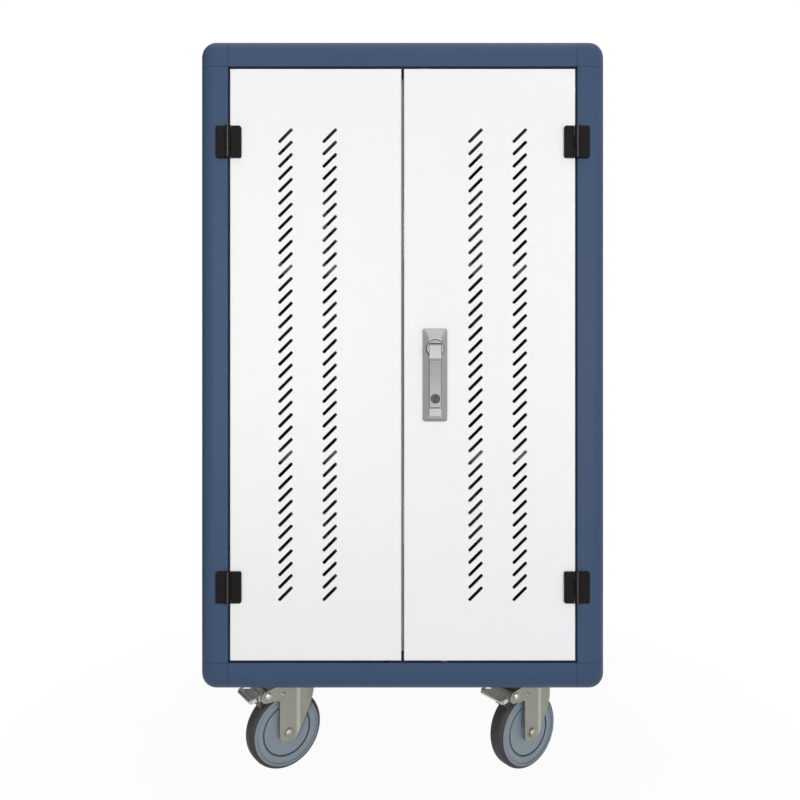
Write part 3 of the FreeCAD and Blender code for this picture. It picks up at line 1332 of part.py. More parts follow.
def brake_pedal():
    """A pressed pedal on a cross pin, with side ears, a rolled tip and a shoe above the tyre."""
    pivot = V(-CASTER_TRAIL - PEDAL_PIVOT_BACK, 0, PEDAL_PIVOT_UP)
    run = PEDAL_TIP_BACK - PEDAL_PIVOT_BACK
    lean = math.degrees(math.atan2(PEDAL_TIP_UP - PEDAL_PIVOT_UP, run))
    reach = math.hypot(run, PEDAL_TIP_UP - PEDAL_PIVOT_UP)
    neck = PEDAL_NECK / 2
    wide = PEDAL_WIDTH / 2
    shoulder = PEDAL_SHOULDER_BACK - PEDAL_PIVOT_BACK
    tread = outline([
        (PEDAL_EAR_RADIUS, -neck, 0),
        (PEDAL_EAR_RADIUS, neck, 0),
        (-shoulder, neck, PEDAL_NOTCH),
        (-shoulder - PEDAL_CORNER, wide, PEDAL_CORNER / 2),
        (-reach, wide, PEDAL_CORNER / 2),
        (-reach, -wide, PEDAL_CORNER / 2),
        (-shoulder - PEDAL_CORNER, -wide, PEDAL_CORNER / 2),
        (-shoulder, -neck, PEDAL_NOTCH),
    ])
    above = PEDAL_PIN_RADIUS - PEDAL_PIN_SEAT
    plate = prism(tread, above, above + PEDAL_SHEET)
    end = wide - PEDAL_CORNER / 2
    lip_z = above + PEDAL_SHEET + PEDAL_LIP_PROUD - PEDAL_LIP_RADIUS
    lip = rod(PEDAL_LIP_RADIUS, V(-reach, -end, lip_z), V(-reach, end, lip_z))
    ears = []
    rims = []
    for side in (-1, 1):
        edge = sorted((side * wide, side * (wide - PEDAL_SHEET)))
        rim_end = -shoulder - PEDAL_CORNER - PEDAL_NOTCH
        rims.append(box(-reach, rim_end, edge[0], edge[1], above, above + PEDAL_SHEET + PEDAL_RIM))
        ear = outline([
            (-shoulder, above + PEDAL_SHEET, 0),
            (-shoulder, -PEDAL_EAR_RADIUS / 2, PEDAL_NOTCH),
            (-PEDAL_EAR_RADIUS, -PEDAL_EAR_RADIUS, PEDAL_EAR_RADIUS / 2),
            (PEDAL_EAR_RADIUS, -PEDAL_EAR_RADIUS, PEDAL_EAR_RADIUS / 2),
            (PEDAL_EAR_RADIUS, above + PEDAL_SHEET, 0),
        ])
        near = side * neck
        far = side * (neck - PEDAL_SHEET)
        plate_ear = prism(ear, min(near, far), max(near, far))
        ears.append(aimed(plate_ear, V(1, 0, 0), V(0, 0, 1), V(0, -1, 0), V()))
    half = FORK_GAP / 2 + FORK_SHEET
    pin = rod(PEDAL_PIN_RADIUS, V(0, -half - OVERRUN, 0), V(0, half + OVERRUN, 0))
    heads = []
    for side in (-1, 1):
        head = domed(PEDAL_PIN_HEAD_RADIUS, PEDAL_PIN_HEAD, PEDAL_PIN_HEAD_RIM)
        heads.append(on_cheek(head, side, V(0, side * (half + RACE_GAP), 0)))
    pedal = joined(plate, lip, pin, *rims, *ears, *heads)
    pedal = pedal.rotated(V(), V(0, 1, 0), lean).translated(pivot)
    shoe = box(
        -CASTER_TRAIL - SHOE_TO,
        -CASTER_TRAIL - SHOE_FROM,
        -SHOE_WIDTH / 2,
        SHOE_WIDTH / 2,
        WHEEL_RADIUS,
        PEDAL_PIVOT_UP + above + PEDAL_SHEET,
    )
    sweep = on_axle(Part.makeCylinder(WHEEL_RADIUS + SHOE_GAP, 2 * SHOE_WIDTH, V(0, 0, -SHOE_WIDTH)))
    return joined(pedal, shoe.cut(sweep))


# Every node and its solids

def model():
    """All sub-parts by node name."""
    top_bolt, top_case = bolt_and_case()
    door_leaves = left_hinges(hinge_leaf(False))
    places = caster_places()
    left_panel = left_side_panel()
    nodes = {
        "corner_posts": posts(),
        "front_rails": front_rails(),
        "rear_rails": rear_rails(),
        "side_rails": side_rails(),
        "corner_blocks": corner_blocks(),
        "top_panel": [flat_panel(TOP - PANEL_SET - PANEL_SHEET, TOP - PANEL_SET)],
        "base_panel": [flat_panel(BOTTOM + PANEL_SET, BOTTOM + PANEL_SET + BASE_SHEET)],
        "left_side_panel": [left_panel],
        "right_side_panel": [across(left_panel)],
        "rear_panel": [rear_panel()],
        "shelf_angles": shelf_angles(),
        "device_shelves": [shelf(level) for level in SHELF_LEVELS],
        "bay_dividers": [d for level in SHELF_LEVELS for d in dividers(level)],
        "device_stops": [device_stop(level) for level in SHELF_LEVELS],
        "socket_strips": [socket_strip(level) for level in SHELF_LEVELS],
        "sockets": [s for level in SHELF_LEVELS for s in sockets(level)],
        "power_inlet": power_inlet(),
        "power_switch": [power_switch()],
        "left_door": [left_door()],
        "right_door": [right_door()],
        "frame_hinge_leaves": both_sides(left_hinges(hinge_leaf(True))),
        "left_door_hinge_leaves": door_leaves,
        "right_door_hinge_leaves": [across(s) for s in door_leaves],
        "hinge_pins": both_sides(left_hinges(hinge_pin())),
        "lock_body": [on_door(lock_body())],
        "handle_rotor": [on_door(handle_rotor())],
        "handle_lever": [on_door(handle_lever())],
        "lever_pin": [on_door(lever_pin())],
        "key_cylinder": [on_door(key_cylinder())],
        "release_button": [on_door(release_button())],
        "drive_pinion": [on_door(drive_pinion())],
        "upper_rod": [on_door(upper_rod())],
        "lower_rod": [on_door(lower_rod())],
        "gear_case": [on_door(gear_case())],
        "rod_guides": [on_door(g) for g in rod_guides()],
        "top_bolt": [top_bolt],
        "bottom_bolt": [to_top(top_bolt)],
        "bolt_cases": [top_case, to_top(top_case)],
        "caster_plates": [caster_plate().translated(p) for p in places.values()],
    }
    pieces = {
        "fork": fork(),
        "axle": axle_bolt(),
        "wheel_core": wheel_core(),
        "tyre": tyre(),
        "brake_pedal": brake_pedal(),
    }
    for corner, place in places.items():
        for piece, shape in pieces.items():
            nodes[corner + "_" + piece] = [set_caster(shape, place)]
    return nodes


os.makedirs("parts", exist_ok=True)
for name, solids in model().items():
    shape = solids[0] if len(solids) == 1 else Part.makeCompound(solids)
    shape.exportStep("parts/" + name + ".step")
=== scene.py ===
from types import SimpleNamespace

import bpy
import numpy as np
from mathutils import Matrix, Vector


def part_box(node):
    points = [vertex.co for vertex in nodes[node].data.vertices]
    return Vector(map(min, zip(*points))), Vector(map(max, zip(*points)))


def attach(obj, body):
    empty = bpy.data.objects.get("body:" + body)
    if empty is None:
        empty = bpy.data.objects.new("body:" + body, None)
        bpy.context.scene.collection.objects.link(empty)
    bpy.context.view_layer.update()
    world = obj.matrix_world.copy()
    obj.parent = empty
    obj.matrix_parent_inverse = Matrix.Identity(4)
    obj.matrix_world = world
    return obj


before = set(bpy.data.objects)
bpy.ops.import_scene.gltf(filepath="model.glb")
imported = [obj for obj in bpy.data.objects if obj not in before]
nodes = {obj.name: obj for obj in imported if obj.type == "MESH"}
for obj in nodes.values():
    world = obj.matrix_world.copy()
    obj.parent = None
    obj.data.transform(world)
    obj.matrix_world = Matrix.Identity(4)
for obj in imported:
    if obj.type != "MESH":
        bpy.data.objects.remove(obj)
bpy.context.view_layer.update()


# Frame members: four posts and eight rails cut from one rounded aluminium extrusion.
# They are powder coated in a satin blue after cutting, so the coat is even, with a faint orange peel.
# Each end is pushed over a spigot of a corner block.

def linear(hex_colour):
    """An sRGB hex colour as linear RGBA: c/12.92 in the toe and ((c + 0.055)/1.055)^2.4 above it."""
    c = np.array([int(hex_colour[i:i + 2], 16) for i in (1, 3, 5)]) / 255
    c = np.where(c <= 0.04045, c / 12.92, ((c + 0.055) / 1.055) ** 2.4)
    return (*c.tolist(), 1.0)


def add(tree, kind, inputs=None, **attributes):
    """Adds a node. inputs maps a socket to (node, output), which is linked to it, or to a constant value."""
    made = tree.nodes.new(kind)
    for key, value in attributes.items():
        setattr(made, key, value)
    for key, value in (inputs or {}).items():
        if isinstance(value, tuple) and isinstance(value[0], bpy.types.Node):
            tree.links.new(value[0].outputs[value[1]], made.inputs[key])
        else:
            made.inputs[key].default_value = value
    return made


def bare_material(name):
    """A new material with no nodes yet."""
    material = bpy.data.materials.new(name)
    material.use_nodes = True
    material.node_tree.nodes.clear()
    return material


def finish_of(name, colours, shading, drift_mm, grain_mm, grain_depth_mm, roughness):
    """A material that drifts between two colours and two roughnesses in clouds, with a fine grain as bump.

    shading holds more inputs of its shader. Returns the material, its tree and the nodes to build on."""
    material = bare_material(name)
    tree = material.node_tree
    place = add(tree, "ShaderNodeTexCoord")
    at = (place, "Object")
    drift = add(tree, "ShaderNodeTexNoise", {"Vector": at, "Scale": 1000 / drift_mm, "Detail": 3.0})
    grain = add(tree, "ShaderNodeTexNoise", {"Vector": at, "Scale": 1000 / grain_mm, "Detail": 2.0})
    bump = add(tree, "ShaderNodeBump", {
        "Height": (grain, "Fac"), "Distance": grain_depth_mm / 1000, "Strength": 1.0})
    colour = add(tree, "ShaderNodeMix", {
        "Factor": (drift, "Fac"), 6: linear(colours[0]), 7: linear(colours[1])}, data_type="RGBA")
    rough = add(tree, "ShaderNodeMapRange", {
        "Value": (drift, "Fac"), "To Min": roughness[0], "To Max": roughness[1]})
    shader = add(tree, "ShaderNodeBsdfPrincipled", {
        "Base Color": (colour, 2), "Roughness": (rough, "Result"), "Normal": (bump, "Normal"), **shading})
    add(tree, "ShaderNodeOutputMaterial", {"Surface": (shader, "BSDF")})
    return SimpleNamespace(material=material, tree=tree, at=at, colour=colour, rough=rough, shader=shader)


def clothe(finish, *names):
    """Puts a finish on the slots of CAD nodes."""
    for name in names:
        for slot in nodes[name].material_slots:
            slot.material = finish.material


# Polyester powder coat, satin: the peel is 1 to 2 mm across in reality and drawn at 3 mm so that it shows.
satin = {"Specular IOR Level": 0.15}
blue_coat = finish_of("blue powder coat on aluminium", ("#3B4E6B", "#3F526F"), satin,
                      drift_mm=160, grain_mm=3.0, grain_depth_mm=0.03, roughness=(0.40, 0.48))
clothe(blue_coat, "corner_posts", "front_rails", "rear_rails", "side_rails")


# Corner blocks: eight rounded mouldings with a spigot for each of the three members that they join.
# They are nylon in the frame's blue, a touch smoother and duller than the coated members.
# Each is pushed home until a hairline seam is left.

blue_moulding = finish_of("blue moulded nylon", ("#3A4D6A", "#3E516E"), satin,
                          drift_mm=90, grain_mm=2.2, grain_depth_mm=0.02, roughness=(0.42, 0.52))
clothe(blue_moulding, "corner_blocks")


# Panels: the top, base, sides and rear are flat steel sheets set in against the members' fins.
# They are powder coated white, like the doors, and the sides and rear are punched with air slots.

white_coat = finish_of("white powder coat on steel", ("#ECECEE", "#F1F1F2"), {"IOR": 1.5},
                       drift_mm=220, grain_mm=3.0, grain_depth_mm=0.02, roughness=(0.42, 0.50))
clothe(white_coat, "top_panel", "base_panel", "left_side_panel", "right_side_panel", "rear_panel")


# Rear panel screws: twelve M4 pan-head screws with a cross recess, in bright zinc.
# They hold the rear sheet to the fins of the rear members, so that it can come off for wiring.

def piece(name, points, faces, material):
    """A new object with a mesh of points and faces, in one material."""
    mesh = bpy.data.meshes.new(name)
    mesh.from_pydata(points, [], faces)
    mesh.materials.append(material)
    made = bpy.data.objects.new(name, mesh)
    bpy.context.scene.collection.objects.link(made)
    return made


def turned_copies(name, radius, height, places, out, finish):
    """Copies of a turned head as one mesh. In row k and turn a its point is r(cos a u + sin a v) + h out.

    radius and height hold r and h in metres, rows by turns, and u, v and out are at right angles."""
    rows, turns = radius.shape
    out = np.array(out, float)
    u = np.roll(out, 1)
    v = np.cross(out, u)
    a = np.linspace(0, 2 * np.pi, turns, endpoint=False)
    ring = np.cos(a)[:, None] * u + np.sin(a)[:, None] * v
    head = radius[..., None] * ring + height[..., None] * out
    points = (np.array(places, float)[:, None, None, :] + head).reshape(-1, 3)
    k, j = np.meshgrid(np.arange(rows - 1), np.arange(turns), indexing="ij")
    after = (j + 1) % turns
    lower, upper = k * turns, (k + 1) * turns
    quad = np.stack([lower + j, lower + after, upper + after, upper + j], -1).reshape(-1, 4)
    faces = (np.arange(len(places))[:, None, None] * rows * turns + quad).reshape(-1, 4)
    made = piece(name, points.tolist(), faces.tolist(), finish.material)
    made.data.validate()
    return made


bright_zinc = finish_of("bright zinc on steel screws", ("#8F908E", "#A2A3A0"), {"Metallic": 1.0},
                        drift_mm=5, grain_mm=0.6, grain_depth_mm=0.004, roughness=(0.26, 0.36))
screw_radius, screw_rise, screw_edge, screw_turns = 0.0042, 0.0024, 0.0008, 64
recess_arm, recess_half, recess_depth, recess_slope = 0.0022, 0.0006, 0.0013, 0.0002
screw_inset, screw_columns, screw_levels = 0.012, 3, 5

# The rings are the foot and the top of the rim, then the dome in to the middle, less a cross cut in it.
rings = np.concatenate([[1.0, 1.0, 0.97], np.linspace(0.92, 0.04, 16)]) * screw_radius
turn = np.linspace(0, 2 * np.pi, screw_turns, endpoint=False)
radius = np.repeat(rings[:, None], screw_turns, axis=1)
across = radius * np.minimum(abs(np.sin(turn)), abs(np.cos(turn)))
in_arm = np.clip((recess_half - across) / recess_slope, 0, 1)
in_reach = np.clip((recess_arm - radius) / recess_slope, 0, 1)
dome = screw_edge + (screw_rise - screw_edge) * np.sqrt(np.clip(1 - (radius / screw_radius) ** 2, 0, 1))
height = dome - in_arm * in_reach * recess_depth
height[0] = 0.0
rear_low, rear_high = (np.array(c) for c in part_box("rear_panel"))
columns = np.linspace(rear_low[0] + screw_inset, rear_high[0] - screw_inset, screw_columns)
levels = np.linspace(rear_low[2] + screw_inset, rear_high[2] - screw_inset, screw_levels)
screw_places = [
    (x, rear_high[1], z) for x in columns for z in levels
    if x in columns[[0, -1]] or z in levels[[0, -1]]
]
rear_screws = turned_copies("rear_panel_screws", radius, height, screw_places, (0, 1, 0), bright_zinc)
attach(rear_screws, "cabinet")


# Shelves, their angles and the device stops: bent steel sheet, powder coated light grey.
# The nine dividers on each shelf are moulded plates whose tabs drop into slots.

grey_coat = finish_of("grey powder coat on steel", ("#B9BBBD", "#C1C3C4"), {"IOR": 1.5},
                      drift_mm=150, grain_mm=3.0, grain_depth_mm=0.03, roughness=(0.45, 0.55))
clothe(grey_coat, "shelf_angles", "device_shelves", "device_stops")
grey_moulding = finish_of("grey moulded polystyrene", ("#83878D", "#8D9197"), {"IOR": 1.59},
                          drift_mm=70, grain_mm=1.6, grain_depth_mm=0.04, roughness=(0.50, 0.62))
clothe(grey_moulding, "bay_dividers")


# Socket strips, their sockets, the mains inlet and its rocker: moulded black plastic.
# The strips and the inlet are textured in the mould, and the sockets and the rocker are smoother.

black_moulding = finish_of("black textured ABS", ("#18191B", "#202124"), {"IOR": 1.54},
                           drift_mm=40, grain_mm=1.2, grain_depth_mm=0.05, roughness=(0.50, 0.62))
clothe(black_moulding, "socket_strips", "power_inlet")
smooth_black = finish_of("black smooth polycarbonate", ("#101011", "#161618"), {"IOR": 1.58},
                         drift_mm=30, grain_mm=1.0, grain_depth_mm=0.01, roughness=(0.28, 0.36))
clothe(smooth_black, "sockets", "power_switch")


# Doors: two shallow steel pans with their edges folded back, punched with slanted vent slots.
# They are powder coated white after punching and hang on the posts' hinges.

door_coat = finish_of("white powder coat on folded doors", ("#F0F0F1", "#F3F3F4"), {"IOR": 1.5},
                      drift_mm=260, grain_mm=3.0, grain_depth_mm=0.02, roughness=(0.40, 0.48))
clothe(door_coat, "left_door", "right_door")


# Closing strip: a flat white strip with a round edge, spot welded behind the left door's return.
# It reaches across the gap between the doors, just clears the right door's edge, and ends short of the rails.

def upright(name, outline, ends, finish):
    """A closed outline of (x, y) points carried straight up, with a cap at each end.

    Its point i at end k is (x_i, y_i, z_k)."""
    count = len(outline)
    points = [(x, y, z) for z in ends for x, y in outline]
    walls = [(i, (i + 1) % count, count + (i + 1) % count, count + i) for i in range(count)]
    caps = [tuple(range(count - 1, -1, -1)), tuple(range(count, 2 * count))]
    return piece(name, points, walls + caps, finish.material)


strip_lap, strip_reach, strip_thick, strip_short = 0.0105, 0.0034, 0.0012, 0.0075
edge_points = 9
door_low, door_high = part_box("left_door")
strip_round = strip_thick / 2
tip = door_high[0] + strip_reach - strip_round
middle = door_high[1] + strip_round
strip_outline = [
    (tip + np.cos(bend) * strip_round, middle + np.sin(bend) * strip_round)
    for bend in np.linspace(-np.pi / 2, np.pi / 2, edge_points)
]
strip_outline += [(door_high[0] - strip_lap, y) for y in (door_high[1] + strip_thick, door_high[1])]
strip_ends = (door_low[2] + strip_short, door_high[2] - strip_short)
strip = upright("door_closing_strip", strip_outline, strip_ends, door_coat)
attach(strip, "left_door_body")


# Hinges: die-cast zinc leaves with a fine black wrinkle coat, on plain steel pins.
# One leaf is fixed to the post and one to the door, both from behind, so that no screw shows.

bright_steel = finish_of("bright turned steel", ("#A9A9A8", "#B6B6B4"), {"Metallic": 1.0},
                         drift_mm=8, grain_mm=0.8, grain_depth_mm=0.005, roughness=(0.26, 0.36))
clothe(bright_steel, "hinge_pins")
wrinkle_black = finish_of("black wrinkle coat on zinc", ("#161413", "#1C1A19"), {},
                          drift_mm=12, grain_mm=1.5, grain_depth_mm=0.10, roughness=(0.50, 0.62))
clothe(wrinkle_black, "frame_hinge_leaves", "left_door_hinge_leaves", "right_door_hinge_leaves")

# The crown of each round knuckle, in front of its pin, is rubbed smooth, so it catches a thin light line.
coat_shine, crown_shine, crown_rough, crown_half = 0.08, 0.9, 0.16, 0.0008
pin_low, pin_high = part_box("hinge_pins")
pin_radius = (pin_high[1] - pin_low[1]) / 2
tree = wrinkle_black.tree
sides = add(tree, "ShaderNodeSeparateXYZ", {"Vector": wrinkle_black.at})
outward = add(tree, "ShaderNodeMath", {0: (sides, "X")}, operation="ABSOLUTE")
crown = add(tree, "ShaderNodeMath", {
    0: (outward, "Value"), 1: pin_high[0] - pin_radius, 2: crown_half}, operation="COMPARE")
rubbed = add(tree, "ShaderNodeMix", {
    "Factor": (crown, "Value"), "A": (wrinkle_black.rough, "Result"), "B": crown_rough}, data_type="FLOAT")
shine = add(tree, "ShaderNodeMapRange", {
    "Value": (crown, "Value"), "To Min": coat_shine, "To Max": crown_shine})
tree.links.new(rubbed.outputs["Result"], wrinkle_black.shader.inputs["Roughness"])
tree.links.new(shine.outputs["Result"], wrinkle_black.shader.inputs["Specular IOR Level"])


# Swing handle: a die-cast zinc body, carrier, lever and button in satin chrome, and a key barrel.
# The plating hides the casting's grain, and leaves a soft blurred shine.
# The body is clamped through the right door, and the lever lies in it when it isn't in use.

# The second pair of colours is the carrier's, painted darker as painted shade.
chrome_colours, chrome_shaded = ("#959492", "#9F9E9C"), ("#838280", "#8C8B89")
chrome_make = {"shading": {"Metallic": 1.0}, "drift_mm": 25, "grain_mm": 1.2, "grain_depth_mm": 0.006,
               "roughness": (0.30, 0.38)}
# The last colour is painted shade, for the chrome's seams and the carrier's rim.
seam_depth, seam_closed, seam_open, painted_seam_shade = 0.003, 0.5, 0.85, "#2B2A29"


def paint(finish, mask, hex_colour):
    """Paints a finish with another colour where a mask, the output (node, name), is 1."""
    painted = add(finish.tree, "ShaderNodeMix", {
        "Factor": mask, 6: (finish.colour, 2), 7: linear(hex_colour)}, data_type="RGBA")
    finish.tree.links.new(painted.outputs[2], finish.shader.inputs["Base Color"])
    finish.colour = painted


def chrome(name, colours):
    """Satin chrome with painted shade in its seams: darker where what is near it hides much of its
    surroundings.
    """
    made = finish_of(name, colours, **chrome_make)
    open_share = add(made.tree, "ShaderNodeAmbientOcclusion", {"Distance": seam_depth}, samples=8)
    seam = add(made.tree, "ShaderNodeMapRange", {
        "Value": (open_share, "AO"), "From Min": seam_closed, "From Max": seam_open,
        "To Min": 1.0, "To Max": 0.0})
    paint(made, (seam, "Result"), painted_seam_shade)
    return made


def offset_from(finish, node):
    """Adds a vector node to a finish and returns it: the offset from the middle of a CAD node's box."""
    low, high = (np.array(c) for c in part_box(node))
    return add(finish.tree, "ShaderNodeVectorMath", {0: finish.at, 1: (low + high) / 2}, operation="SUBTRACT")


satin_chrome = chrome("satin chrome on zinc", chrome_colours)
clothe(satin_chrome, "lock_body", "release_button")

# The carrier's disc is painted darker, as painted shade for its place deeper in the body, and its rim gets
# painted shade too.
rim_shade = 0.0008
rotor_low, rotor_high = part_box("handle_rotor")
carrier_chrome = chrome("chrome carrier with painted shade", chrome_shaded)
tree = carrier_chrome.tree
flattened = add(tree, "ShaderNodeVectorMath", {
    0: (offset_from(carrier_chrome, "handle_rotor"), "Vector"), 1: (1, 0, 1)}, operation="MULTIPLY")
far_out = add(tree, "ShaderNodeVectorMath", {0: (flattened, "Vector")}, operation="LENGTH")
rim = add(tree, "ShaderNodeMath", {
    0: (far_out, "Value"), 1: (rotor_high[0] - rotor_low[0]) / 2 - rim_shade}, operation="GREATER_THAN")
paint(carrier_chrome, (rim, "Value"), painted_seam_shade)
clothe(carrier_chrome, "handle_rotor")

# The lever's head is as smooth as the body. Its grip is blasted, so it is rougher towards the head, and below
# the head its colour is multiplied darker.
grip_end, grip_top, grip_fade = 0.600, 0.656, 0.002
grip_rough, grip_darkening = (0.46, 0.60), 0.76
lever_chrome = finish_of("satin chrome with a blasted grip", chrome_colours, **chrome_make)
tree = lever_chrome.tree
level = add(tree, "ShaderNodeSeparateXYZ", {"Vector": lever_chrome.at})
head = add(tree, "ShaderNodeMapRange", {
    "Value": (level, "Z"), "From Min": grip_top, "From Max": grip_top + grip_fade})
blasted = add(tree, "ShaderNodeMapRange", {
    "Value": (level, "Z"), "From Min": grip_end, "From Max": grip_top,
    "To Min": grip_rough[0], "To Max": grip_rough[1]})
rough = add(tree, "ShaderNodeMix", {
    "Factor": (head, "Result"), "A": (blasted, "Result"), "B": (lever_chrome.rough, "Result")},
    data_type="FLOAT")
shade = add(tree, "ShaderNodeMapRange", {"Value": (head, "Result"), "To Min": grip_darkening})
darkened_colour = add(tree, "ShaderNodeMix", {
    "Factor": 1.0, 6: (lever_chrome.colour, 2), 7: (shade, "Result")},
    data_type="RGBA", blend_type="MULTIPLY")
tree.links.new(rough.outputs["Result"], lever_chrome.shader.inputs["Roughness"])
tree.links.new(darkened_colour.outputs[2], lever_chrome.shader.inputs["Base Color"])
clothe(lever_chrome, "handle_lever")

# The key barrel is seen through a hole in the lever, and its nickel is painted dark: painted shade.
shaded_nickel = finish_of("nickel on brass painted dark as shade", ("#474645", "#525150"), {"Metallic": 1.0},
                        drift_mm=6, grain_mm=0.8, grain_depth_mm=0.004, roughness=(0.34, 0.44))
clothe(shaded_nickel, "key_cylinder")
clothe(bright_steel, "lever_pin")


# Locking gear behind the doors: zinc-plated rods, gear case and slide bolts, and a bright steel pinion.
# The rods slide in black plastic guides and the bolts in black plastic cases.
# Zinc plating is grey with a warm, cloudy cast.

zinc_colours = ("#8A8A82", "#9A9A91")
zinc_make = {"shading": {"Metallic": 1.0}, "drift_mm": 18, "grain_mm": 1.4, "grain_depth_mm": 0.006,
             "roughness": (0.36, 0.46)}
zinc_plate = finish_of("zinc plated steel", zinc_colours, **zinc_make)
clothe(zinc_plate, "upper_rod", "lower_rod", "gear_case", "top_bolt", "bottom_bolt")
clothe(bright_steel, "drive_pinion")
clothe(black_moulding, "rod_guides", "bolt_cases")


# Casters: pressed zinc-plated plates, forks and pedals, moulded blue-grey cores and bonded rubber tyres.
# Each fork turns on its plate, carries its wheel on a bolt, and holds the pedal on a pin.
# All four are stored turned by the same swivel, so their axles are parallel.

clothe(zinc_plate, "caster_plates")

# Below the pressed plate the pedal's shoe is painted black and not metal, as painted shade. The plate's zinc
# is painted brighter than the fork's, as painted light.
shoe_top, shoe_painted_shade = 0.1205, "#1C1B1B"
pedal_zinc = finish_of("zinc plated pedal with a rubber shoe", ("#BDBDB5", "#CBCBC3"), **zinc_make)
tree = pedal_zinc.tree
level = add(tree, "ShaderNodeSeparateXYZ", {"Vector": pedal_zinc.at})
metal = add(tree, "ShaderNodeMath", {0: (level, "Z"), 1: shoe_top}, operation="GREATER_THAN")
shoe = add(tree, "ShaderNodeMath", {0: 1.0, 1: (metal, "Value")}, operation="SUBTRACT")
paint(pedal_zinc, (shoe, "Value"), shoe_painted_shade)
tree.links.new(metal.outputs["Value"], pedal_zinc.shader.inputs["Metallic"])

# The core's ring groove is painted darker: painted shade. The tyre is black, with its side walls in the
# core's grey.
# An upright band along each fork's front bend is painted brighter: a painted highlight.
groove_radius, groove_half, groove_painted_shade = 0.0403, 0.0015, "#4A5660"
wall_radius, wall_grey = 0.056, "#828F99"
band_ahead, band_half, bend_painted_highlight = 0.0155, 0.0055, "#B2B2A9"
swivel = np.radians(34)
axle_line = (np.sin(swivel), -np.cos(swivel), 0)
forward = (np.cos(swivel), np.sin(swivel), 0)


def from_axle(finish, tyre):
    """Adds nodes to a finish and returns the last: its Value is |offset x line|, the distance to the axle."""
    swept = add(finish.tree, "ShaderNodeVectorMath", {
        0: (offset_from(finish, tyre), "Vector"), 1: axle_line}, operation="CROSS_PRODUCT")
    return add(finish.tree, "ShaderNodeVectorMath", {0: (swept, "Vector")}, operation="LENGTH")


for corner in ("front_left", "front_right", "rear_left", "rear_right"):
    tyre = corner + "_tyre"

    fork_zinc = finish_of("zinc plated fork with a painted highlight " + corner, zinc_colours, **zinc_make)
    tree = fork_zinc.tree
    # The band along the front bend is a painted highlight.
    ahead = add(tree, "ShaderNodeVectorMath", {
        0: (offset_from(fork_zinc, tyre), "Vector"), 1: forward}, operation="DOT_PRODUCT")
    past_band = add(tree, "ShaderNodeMath", {0: (ahead, "Value"), 1: band_ahead}, operation="SUBTRACT")
    off_band = add(tree, "ShaderNodeMath", {0: (past_band, "Value")}, operation="ABSOLUTE")
    band = add(tree, "ShaderNodeMapRange", {
        "Value": (off_band, "Value"), "From Max": band_half, "To Min": 1.0, "To Max": 0.0},
        interpolation_type="SMOOTHSTEP")
    paint(fork_zinc, (band, "Result"), bend_painted_highlight)

    grey_core = finish_of("blue-grey moulded polypropylene " + corner, ("#828F99", "#8B97A0"), {"IOR": 1.49},
                          drift_mm=45, grain_mm=1.6, grain_depth_mm=0.02, roughness=(0.40, 0.50))
    # The ring groove is painted darker as painted shade.
    groove = add(grey_core.tree, "ShaderNodeMath", {
        0: (from_axle(grey_core, tyre), "Value"), 1: groove_radius, 2: groove_half}, operation="COMPARE")
    paint(grey_core, (groove, "Value"), groove_painted_shade)

    rubber = finish_of("tyre rubber with grey side walls " + corner, ("#2A2829", "#323031"), {"IOR": 1.52},
                       drift_mm=25, grain_mm=1.4, grain_depth_mm=0.05, roughness=(0.62, 0.75))
    wall = add(rubber.tree, "ShaderNodeMath", {
        0: (from_axle(rubber, tyre), "Value"), 1: wall_radius}, operation="LESS_THAN")
    paint(rubber, (wall, "Value"), wall_grey)

    clothe(fork_zinc, corner + "_fork")
    clothe(zinc_plate, corner + "_axle")
    clothe(pedal_zinc, corner + "_brake_pedal")
    clothe(grey_core, corner + "_wheel_core")
    clothe(rubber, tyre)


# Caster bolts: each plate is bolted to the base with four M8 hexagon heads on washers, in bright zinc.
# The profile gives radius and height in mm: the washer, then the head with its chamfered top.

bolt_profile = np.array([
    (8.0, 0), (8.0, 1.3), (7.7, 1.6),
    (7.5, 1.6), (7.5, 5.9), (6.9, 6.4), (6.1, 6.6), (0.3, 6.6),
])
head_rows, half_flats, bolt_turns = slice(3, 6), 0.0065, 48
plate_half, plate_thick, bolt_inset = np.array([0.0425, 0.0525]), 0.004, 0.0125
turn = np.linspace(0, 2 * np.pi, bolt_turns, endpoint=False)

# A hexagon's edge is half its flats over the cosine of the turn from the nearest flat.
hexagon = half_flats / np.cos((turn + np.pi / 6) % (np.pi / 3) - np.pi / 6)
radius, height = (np.repeat(column[:, None], bolt_turns, axis=1) / 1000 for column in bolt_profile.T)
radius[head_rows] = np.minimum(radius[head_rows], hexagon)
plate_low, plate_high = (np.array(c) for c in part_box("caster_plates"))
near, far = plate_low[:2] + plate_half, plate_high[:2] - plate_half
reach = plate_half - bolt_inset
bolt_places = [
    (x + i * reach[0], y + j * reach[1], plate_high[2] - plate_thick)
    for x in (near[0], far[0]) for y in (near[1], far[1]) for i in (-1, 1) for j in (-1, 1)
]
caster_bolts = turned_copies("caster_bolts", radius, height, bolt_places, (0, 0, -1), bright_zinc)
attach(caster_bolts, "cabinet")


# Stage: a pale floor and a plain white surround, soft lamps in front, above, at the right and at the rear
# corners, and two black flags that give the chrome its dark slopes. The camera looks level along +Y.

def lamp(name, at, towards, size, watts):
    """A rectangular lamp at a point, facing another, with its width and height in metres."""
    data = bpy.data.lights.new(name, "AREA")
    data.shape = "RECTANGLE"
    data.size, data.size_y = size
    data.energy = watts
    made = bpy.data.objects.new(name, data)
    bpy.context.scene.collection.objects.link(made)
    made.location = at
    made.rotation_euler = (Vector(towards) - Vector(at)).to_track_quat("-Z", "Y").to_euler()


